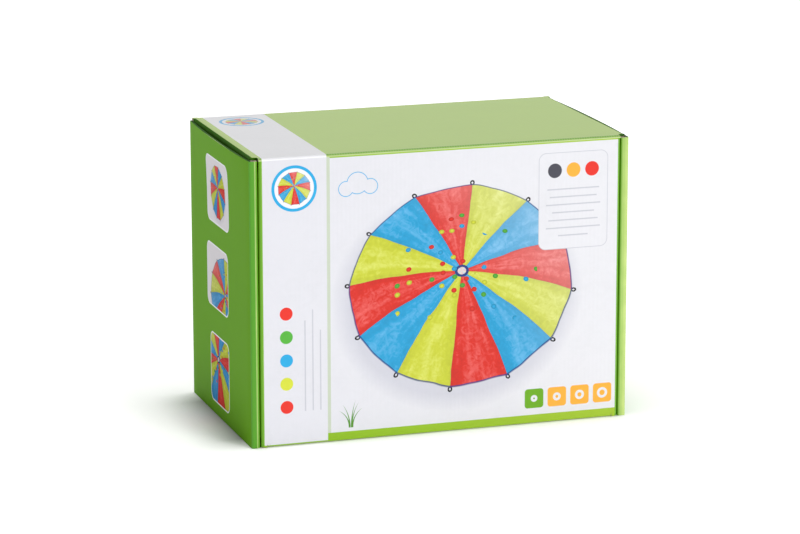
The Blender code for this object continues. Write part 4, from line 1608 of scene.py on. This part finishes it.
print("the pack bulges by", round(crown(0, PACK_MIDDLE) / MM, 1), "mm")

# %% [markdown]
# Each gore is a copy of the pattern, lifted to its layer and settled there.  The
# gores take the three colours in turn, as they are sewn, and the two that carry the
# handles show the dark hem at their front folds.

# %% Twelve gores
HEM_GORES = (4, 9)
HEM_DEPTH = 9 * MM

gores = []
for number in range(1, GORES + 1):
    gore_cloth = copy_of(gore_pattern, f"cloth_gore_{number:02d}")
    edit(gore_cloth)
    bpy.ops.mesh.select_all(action="SELECT")
    bpy.ops.transform.translate(value=(0, 0, (number - 1) * GORE_PITCH))
    leave()
    kind = (number - 1) % len(CLOTHS)
    dress(gore_cloth, [CLOTHS[kind], hem_navy])
    if number in HEM_GORES:
        for polygon in gore_cloth.data.polygons:
            if polygon.center.y < PACK_FRONT + HEM_DEPTH:
                polygon.material_index = 1
    shape(gore_cloth, settle(number, number / GORES))
    smooth(gore_cloth, 80)
    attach(gore_cloth, "tray")
    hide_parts(f"gore_{number:02d}")
    gores.append(gore_cloth)
bpy.data.objects.remove(gore_pattern, do_unlink=True)
print("gores:", len(gores), "of", sum(len(gore.data.polygons) for gore in gores), "faces")

# %% [markdown]
# ## The centre net
#
# A play parachute has a net at its centre that lets air through.  It lies folded on
# top of the pack.  The net is a square grid turned by 45 degrees and cut to its
# outline, and a Wireframe modifier turns its edges into cords.

# %% Net of cords
net_low, net_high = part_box("centre_net")
NET_CELL = 4.6 * MM
NET_CORD = 0.75 * MM
NET_TAPE = 6 * MM
NET_HALF = (net_high[0], (net_high[1] - net_low[1]) / 2)

reach = 1.5 * NET_HALF[0]
count = int(2 * reach / NET_CELL)
bpy.ops.object.select_all(action="DESELECT")
bpy.ops.mesh.primitive_grid_add(x_subdivisions=count, y_subdivisions=count, size=2 * reach,
                                location=(0, 0, 0), rotation=(0, 0, math.radians(45)))
net = bpy.context.object
net.name = "net_mesh"
bpy.ops.object.transform_apply(location=True, rotation=True, scale=True)
edit(net)
for axis, half in enumerate(NET_HALF):
    for side in (-1, 1):
        way = Vector()
        way[axis] = side
        bpy.ops.mesh.select_all(action="SELECT")
        bpy.ops.mesh.bisect(plane_co=way * (half - NET_TAPE / 2), plane_no=way, clear_outer=True)
leave()
apply(net, "WIREFRAME", thickness=NET_CORD, use_even_offset=True, use_boundary=True)
print("net of", round(NET_CELL / MM, 1), "mm cells:", len(net.data.polygons), "faces")

# %% [markdown]
# A tape binds the net: a panel whose middle is inset and deleted.  Net and tape then
# follow the pack's bulge and ripples.

# %% Tape of the net, and its place on the pack
TAPE_INSET = 0.2 * MM
NET_LIFT = net_high[2] - PACK_CROWN - 0.65 * MM

tape = panel("net_tape", (TAPE_INSET - NET_HALF[0], TAPE_INSET - NET_HALF[1], 0),
             (2 * (NET_HALF[0] - TAPE_INSET), 0, 0), (0, 2 * (NET_HALF[1] - TAPE_INSET), 0))
edit(tape)
pick("FACE", lambda middle: True)
bpy.ops.mesh.inset(thickness=NET_TAPE)
bpy.ops.mesh.delete(type="FACE")
bpy.ops.mesh.select_all(action="SELECT")
bpy.ops.mesh.subdivide(number_cuts=40)
leave()


def lie_on_pack(place):
    """The place on top of the pack for a place in a flat net."""
    x, y = place.x, place.y + PACK_MIDDLE
    return Vector((x, y, place.z + NET_LIFT + crown(x, y) + ripple(x, y) * 0.6))


net_cord, tree, shader = material("net_cord", 0.6)
wire(tree, paint(30, 48, 112), shader.inputs["Base Color"])
for piece in (net, tape):
    shape(piece, lie_on_pack)
apply(tape, "SOLIDIFY", thickness=0.9 * MM, offset=0)
for piece, finish in ((net, net_cord), (tape, hem_navy)):
    dress(piece, [finish])
    smooth(piece, 40)
    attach(piece, "tray")
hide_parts("centre_net")

# %% [markdown]
# ## Straps
#
# Two straps of webbing keep the pack folded.  Each closes on itself at the front
# with a sewn patch.  The band starts as one edge as wide as the webbing and is
# extruded round the pack.

# %% Straps
WEBBING = 1.3 * MM
STRAP_BEND = 4 * MM
PATCH_LOW, PATCH_HIGH = 52 * MM, 88 * MM


def band(name, path, width, middle, closed=False):
    """A band of webbing along places (y, z), as wide as given, centred at an x."""
    strip = panel(name, (middle - width / 2, path[0][0] - width, path[0][1]), (width, 0, 0), (0, width, 0))
    edit(strip)
    pick("VERT", lambda middle: middle.y < path[0][0] - NEAR)
    bpy.ops.mesh.delete(type="VERT")
    pick("EDGE", lambda middle: True)
    for here, there in zip(path, path[1:]):
        extrude((0, there[0] - here[0], there[1] - here[1]))
    bpy.ops.mesh.select_all(action="SELECT")
    if closed:
        bpy.ops.mesh.remove_doubles(threshold=NEAR / 5)
    bpy.ops.mesh.normals_make_consistent(inside=False)
    leave()
    apply(strip, "SOLIDIFY", thickness=WEBBING, offset=0, use_even_offset=True)
    apply(strip, "BEVEL", width=0.35 * MM, segments=2, limit_method="ANGLE", angle_limit=math.radians(60))
    smooth(strip, 50)
    return strip


def rounded_loop(low, high, radius):
    """Places round a rectangle in the y-z plane with round corners, closed."""
    corners = ((low[0], low[1], 180), (high[0], low[1], 270), (high[0], high[1], 0), (low[0], high[1], 90))
    path = []
    for y, z, start in corners:
        centre_y = y + radius if y == low[0] else y - radius
        centre_z = z + radius if z == low[1] else z - radius
        for step in range(7):
            swing = math.radians(start + 15 * step)
            path.append((centre_y + radius * math.cos(swing), centre_z + radius * math.sin(swing)))
    return path + path[:1]


for hand in ("left", "right"):
    strap_low, strap_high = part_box(f"strap_{hand}")
    middle = (strap_low[0] + strap_high[0]) / 2
    width = strap_high[0] - strap_low[0]
    half = WEBBING / 2
    low = (strap_low[1] + half, strap_low[2] + half)
    high = (strap_high[1] - half, strap_high[2] - half)
    strap = band(f"pack_strap_{hand}", rounded_loop(low, high, STRAP_BEND), width, middle, closed=True)
    dress(strap, [strap_webbing])
    front = strap_low[1] - half - NEAR
    rise = [(front, z) for z in (PATCH_LOW, (PATCH_LOW + PATCH_HIGH) / 2, PATCH_HIGH)]
    patch = band(f"strap_patch_{hand}", rise, width, middle)
    dress(patch, [handle_webbing])
    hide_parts(f"strap_{hand}")
    for piece in (strap, patch):
        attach(piece, "tray")
    print(strap.name, "is", round(width / MM, 1), "mm wide")

# %% [markdown]
# ## Handles
#
# A handle is a doubled piece of the same webbing, sewn to the hem with its two ends
# together.  It sticks out from the fold of its gore and droops.  A box of stitches
# holds it.

# %% Handles
HANDLE_LENGTH = 26.5 * MM
HANDLE_DROOP = 9 * MM
HANDLE_SLIT = 0.8 * MM
HANDLE_STEPS = 8


def droop(out):
    """How far a handle hangs down at a distance out from the pack."""
    return HANDLE_DROOP * (out / HANDLE_LENGTH) ** 2


def handle_height(number):
    """The height of the gore that carries a handle: half of them sit at each hem."""
    hem_gore = HEM_GORES[0] if number <= GORES / 2 else HEM_GORES[1]
    return PACK_BASE + (hem_gore - 1) * GORE_PITCH + GORE_HEIGHT / 2


def handle_path(start):
    """Places along a doubled band: out along the top, round the end, back below."""
    outs = [HANDLE_LENGTH * step / HANDLE_STEPS for step in range(HANDLE_STEPS + 1)]
    spine = [Vector((start[0] - out, start[1] - droop(out))) for out in outs]
    upper, lower = [], []
    for number, point in enumerate(spine):
        ahead = spine[min(number + 1, HANDLE_STEPS)]
        behind = spine[max(number - 1, 0)]
        aside = (behind - ahead).orthogonal().normalized() * (HANDLE_SLIT + WEBBING) / 2
        upper.append(point + aside)
        lower.append(point - aside)
    spread = upper[-1] - spine[-1]
    bend = [spine[-1] + Matrix.Rotation(math.pi * step / 8, 2) @ spread for step in range(1, 8)]
    return [tuple(point) for point in upper + bend + lower[::-1]]


for number in range(1, GORES + 1):
    node = f"handle_{number:02d}"
    handle_low, handle_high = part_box(node)
    middle = (handle_low[0] + handle_high[0]) / 2
    width = handle_high[0] - handle_low[0]
    start = (handle_high[1] - 0.1 * MM, handle_height(number))
    handle = band(f"webbing_{node}", handle_path(start), width, middle)
    dress(handle, [handle_webbing])
    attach(handle, "tray")
    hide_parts(node)
print("handles:", GORES, "of", round(HANDLE_LENGTH / MM, 1), "mm")

# %% [markdown]
# ### Stitches
#
# Light thread shows where the webbing is sewn: a rectangle round each patch, and a
# short row across each handle.  One stitch is a small box with soft ends.  It is
# copied along the seams, and each seam's stitches are joined to one piece.

# %% Stitches
STITCH = (2.2 * MM, 0.5 * MM, 0.5 * MM)
STITCH_STEP = 3 * MM
STITCH_ROW = [step * STITCH_STEP for step in range(-2, 3)]

bpy.ops.object.select_all(action="DESELECT")
bpy.ops.mesh.primitive_cube_add(size=1)
stitch = bpy.context.object
stitch.scale = STITCH
bpy.ops.object.transform_apply(location=False, rotation=False, scale=True)
apply(stitch, "BEVEL", width=0.18 * MM, segments=2)


def sew(name, places):
    """Copies of the stitch at places, each (x, y, z, upright), joined to one piece."""
    bpy.ops.object.select_all(action="DESELECT")
    copies = []
    for x, y, z, upright in places:
        single = copy_of(stitch, name)
        single.matrix_world = Matrix.Translation((x, y, z)) @ Matrix.Rotation(math.pi / 2 * upright, 4, "Y")
        single.select_set(True)
        copies.append(single)
    bpy.context.view_layer.objects.active = copies[0]
    bpy.ops.object.join()
    seam = bpy.context.object
    bpy.ops.object.transform_apply(location=True, rotation=True, scale=True)
    seam.name = name
    smooth(seam, 50)
    dress(seam, [stitch_thread])
    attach(seam, "tray")
    return seam


seams = []
for hand in ("left", "right"):
    patch_low, patch_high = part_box(f"strap_{hand}")
    middle = (patch_low[0] + patch_high[0]) / 2
    face = patch_low[1] - WEBBING - 0.1 * MM
    side = (patch_high[0] - patch_low[0]) / 2 - 2.5 * MM
    places = [(middle + across, face, z, 0) for z in (PATCH_LOW + 2 * MM, PATCH_HIGH - 2 * MM)
              for across in STITCH_ROW]
    places += [(middle + way * side, face, PATCH_LOW + 5 * MM + step * STITCH_STEP, 1)
               for way in (-1, 1) for step in range(10)]
    seams.append(sew(f"patch_stitches_{hand}", places))
for number in range(1, GORES + 1):
    handle_low, handle_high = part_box(f"handle_{number:02d}")
    middle = (handle_low[0] + handle_high[0]) / 2
    top = handle_height(number) + HANDLE_SLIT / 2 + WEBBING
    places = [(middle + across, handle_high[1] - out, top - droop(out), 0)
              for across in STITCH_ROW for out in (3.5 * MM, 8.5 * MM)]
    seams.append(sew(f"handle_stitches_{number:02d}", places))
bpy.data.objects.remove(stitch, do_unlink=True)
print("seams sewn:", len(seams))

# %% [markdown]
# ## Play balls
#
# The balls are blow-moulded from soft polyethylene.  A thin seam goes round each,
# where the two halves of the mould met, with a small pinch mark.  One ball is
# modelled and copied, and each copy is turned its own way.

# %% One ball
ball_low, ball_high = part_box("ball_red_1")
BALL_RADIUS = (ball_high[0] - ball_low[0]) / 2
SEAM_WIDTH = 0.5 * MM
SEAM_SHARE = 0.992
PINCH_REACH = 4 * MM

bpy.ops.object.select_all(action="DESELECT")
bpy.ops.mesh.primitive_uv_sphere_add(segments=64, ring_count=32, radius=BALL_RADIUS)
ball_pattern = bpy.context.object
edit(ball_pattern)
pick("EDGE", lambda corner: abs(corner.z) < NEAR, every=True)
bpy.ops.mesh.bevel(offset=SEAM_WIDTH, segments=2, affect="EDGES")
pick("VERT", lambda middle: abs(middle.z) < NEAR)
bpy.ops.transform.resize(value=(SEAM_SHARE, SEAM_SHARE, 1), center_override=(0, 0, 0))
pick("FACE", lambda middle: middle.x > BALL_RADIUS * 0.985 and abs(middle.z) < PINCH_REACH)
bpy.ops.mesh.inset(thickness=0.5 * MM, depth=-0.35 * MM)
leave()
smooth(ball_pattern, 60)


def ball_finish(name, shade):
    """Soft satin polyethylene, a little see-through at its thin wall."""
    made, tree, shader = material(name, 0.32, 0.5)
    cloud = calc(tree, "MULTIPLY", noise_at(tree, object_place(tree), 35)["Fac"], 0.25)
    wire(tree, colour_mix(tree, cloud, shade, darker(shade, 0.75)), shader.inputs["Base Color"])
    shader.inputs["Subsurface Weight"].default_value = 0.12
    shader.inputs["Subsurface Radius"].default_value = (0.004, 0.003, 0.002)
    return made


BALL_SHADES = {
    "blue": paint(28, 108, 200),
    "green": paint(70, 172, 62),
    "red": paint(224, 50, 44),
    "yellow": paint(240, 208, 40),
}
ball_finishes = {name: ball_finish(f"ball_finish_{name}", shade) for name, shade in BALL_SHADES.items()}
print("ball radius", round(BALL_RADIUS / MM, 1), "mm")

# %% [markdown]
# The balls lie where their solids are.  Each takes the colour that its solid's name
# gives, and a turn of its own, so that the seams don't line up.

# %% Eleven balls
ball_nodes = sorted(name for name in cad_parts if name.startswith("ball_"))
for number, node in enumerate(ball_nodes):
    low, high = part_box(node)
    centre = (Vector(low) + Vector(high)) / 2
    play_ball = copy_of(ball_pattern, f"play_{node}")
    edit(play_ball)
    bpy.ops.mesh.select_all(action="SELECT")
    for axis, factor in (("X", 1.7), ("Z", 2.9), ("Y", 0.8)):
        bpy.ops.transform.rotate(value=factor * (number + 1), orient_axis=axis, center_override=(0, 0, 0))
    bpy.ops.transform.translate(value=tuple(centre))
    leave()
    colour_name = node.split("_")[1]
    dress(play_ball, [ball_finishes[colour_name]])
    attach(play_ball, "tray")
    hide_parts(node)
bpy.data.objects.remove(ball_pattern, do_unlink=True)
print("balls:", len(ball_nodes))

# %% [markdown]
# ## Leaflet
#
# A printed sheet, folded once, stands against the back.  It is two thin leaves joined
# by a narrow square fold at one side, and shows a plain drawing of the open parachute.

# %% Leaflet
leaf_low, leaf_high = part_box("leaflet")
PAPER = 0.2 * MM

leaf_reach = leaf_high[0] - 0.5 * MM
leaf_back, leaf_front = leaf_high[1] - PAPER, leaf_low[1] + PAPER
leaf_turns = [(-leaf_reach, leaf_back), (-leaf_reach, leaf_front), (leaf_reach, leaf_front)]
leaflet = panel("paper_leaflet", (leaf_reach, leaf_back, leaf_low[2]), (-2 * leaf_reach, 0, 0),
                (0, 0, leaf_high[2] - leaf_low[2]))
edit(leaflet)
for here, there in zip(leaf_turns, leaf_turns[1:]):
    pick_edge_at(Vector((*here, (leaf_low[2] + leaf_high[2]) / 2)))
    extrude((there[0] - here[0], there[1] - here[1], 0))
leave()
apply(leaflet, "SOLIDIFY", thickness=PAPER / 2, offset=0)
print("leaflet:", round(2 * leaf_reach / MM, 1), "mm wide,", len(leaflet.data.polygons), "faces")

# %% [markdown]
# The leaflet's print is plain: a green head, the open parachute, and grey rules
# where a real leaflet has its lines of text.

# %% Print of the leaflet
RULE_INK = paint(120, 124, 130)

leaflet_print, tree, shader = material("leaflet_print", 0.55, 0.4)
across, _, up = split(tree, object_place(tree))
head = box_mask(tree, across, up, (-leaf_reach, leaf_reach), (186 * MM, 0.3))
colour = colour_mix(tree, head, PANEL_WHITE, GREEN)
colour = print_wheel(tree, colour, across, up, (0, 120 * MM), 52 * MM, 1.0, 0.3, 0.2)
for number in range(6):
    rule = box_mask(tree, across, up, (-56 * MM, (56 - 14 * (number % 3)) * MM),
                    ((46 - number * 7) * MM, (47.2 - number * 7) * MM))
    colour = colour_mix(tree, rule, colour, RULE_INK)
wire(tree, colour, shader.inputs["Base Color"])
dress(leaflet, [leaflet_print])
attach(leaflet, "tray")
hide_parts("leaflet")
print("leaflet print:", leaflet_print.name)

# %% [markdown]
# ## Floor and light
#
# The photograph is bright: a white floor that runs on into a white backdrop, with
# only a soft shadow where the carton stands.  The floor glows, and Ambient Occlusion
# takes the glow away near the carton, which leaves the shadow.  Along the foot of
# the left end, where no lamp reaches, the floor is darker still.

# %% Floor
FLOOR_SIZE = 30.0
FLOOR_WHITE, FLOOR_SHADE = [0.97] * 3, [0.42] * 3
FLOOR_GLOW = 0.58
SHADE_REACH = 42 * MM
SHADE_SOFT = 30 * MM
CONTACT_REACH = 110 * MM

bpy.ops.mesh.primitive_plane_add(size=FLOOR_SIZE, location=(0, 0, -0.0002))
floor = bpy.context.object
floor.name = "floor"
floor_finish, tree, shader = material("floor_finish", 0.9, 0.1)
wire(tree, WHITE, shader.inputs["Emission Color"])
across, deep, _ = split(tree, object_place(tree))
from_end = calc(tree, "DIVIDE", calc(tree, "SUBTRACT", -HALF_WIDTH, across), SHADE_REACH)
near_end = calc(tree, "SUBTRACT", 1.0, from_end, clamp=True)
near_end = calc(tree, "MULTIPLY", near_end, calc(tree, "LESS_THAN", across, 0.0))
past_front = calc(tree, "DIVIDE", calc(tree, "SUBTRACT", deep, FRONT), SHADE_SOFT, clamp=True)
past_back = calc(tree, "DIVIDE", calc(tree, "SUBTRACT", BACK, deep), SHADE_SOFT, clamp=True)
beside_end = calc(tree, "MINIMUM", past_front, past_back)
foot_shade = calc(tree, "MULTIPLY", calc(tree, "POWER", near_end, 1.6), beside_end)
near_contact = add(tree, "ShaderNodeAmbientOcclusion", samples=8)
near_contact.inputs["Distance"].default_value = CONTACT_REACH
floor_glow = calc(tree, "MULTIPLY", calc(tree, "POWER", near_contact.outputs["AO"], 1.1), FLOOR_GLOW)
shaded = calc(tree, "SUBTRACT", 1.0, calc(tree, "MULTIPLY", foot_shade, 0.9))
wire(tree, calc(tree, "MULTIPLY", floor_glow, shaded), shader.inputs["Emission Strength"])
wire(tree, colour_mix(tree, foot_shade, FLOOR_WHITE, FLOOR_SHADE), shader.inputs["Base Color"])
dress(floor, [floor_finish])
print("floor:", FLOOR_SIZE, "m wide")

# %% [markdown]
# A wide sun above lights the top, a narrower one from the front and right lights the
# lid, and the left end gets what is left.  The backdrop is white to the camera and
# in reflections, and dim as a source of light, so that the walls keep their shades.

# %% Lamps and backdrop
BACKDROP_DIMMING = 0.74


def soft_light(name, place, spread, power):
    """A far lamp that lights from a place's direction, over a spread in degrees."""
    lamp_data = bpy.data.lights.new(name, "SUN")
    lamp_data.angle = math.radians(spread)
    lamp_data.energy = power
    lamp = bpy.data.objects.new(name, lamp_data)
    bpy.context.scene.collection.objects.link(lamp)
    look = -Vector(place)
    lamp.matrix_world = Matrix.Translation(place) @ look.to_track_quat("-Z", "Y").to_matrix().to_4x4()
    return lamp


lamps = [
    soft_light("key", (1.25, -2.4, 1.0), 24, 1.37),
    soft_light("overhead", (0.2, 0.4, 3.4), 70, 0.85),
]
world = bpy.data.worlds.new("studio")
bpy.context.scene.world = world
world.use_nodes = True
backdrop = world.node_tree
source = backdrop.nodes["Background"]
as_light = add(backdrop, "ShaderNodeLightPath").outputs["Is Diffuse Ray"]
strength = calc(backdrop, "SUBTRACT", 1.0, calc(backdrop, "MULTIPLY", as_light, BACKDROP_DIMMING))
wire(backdrop, strength, source.inputs["Strength"])
wire(backdrop, WHITE, source.inputs["Color"])
bpy.context.scene.view_settings.view_transform = "Standard"
print("lamps:", [lamp.name for lamp in lamps])
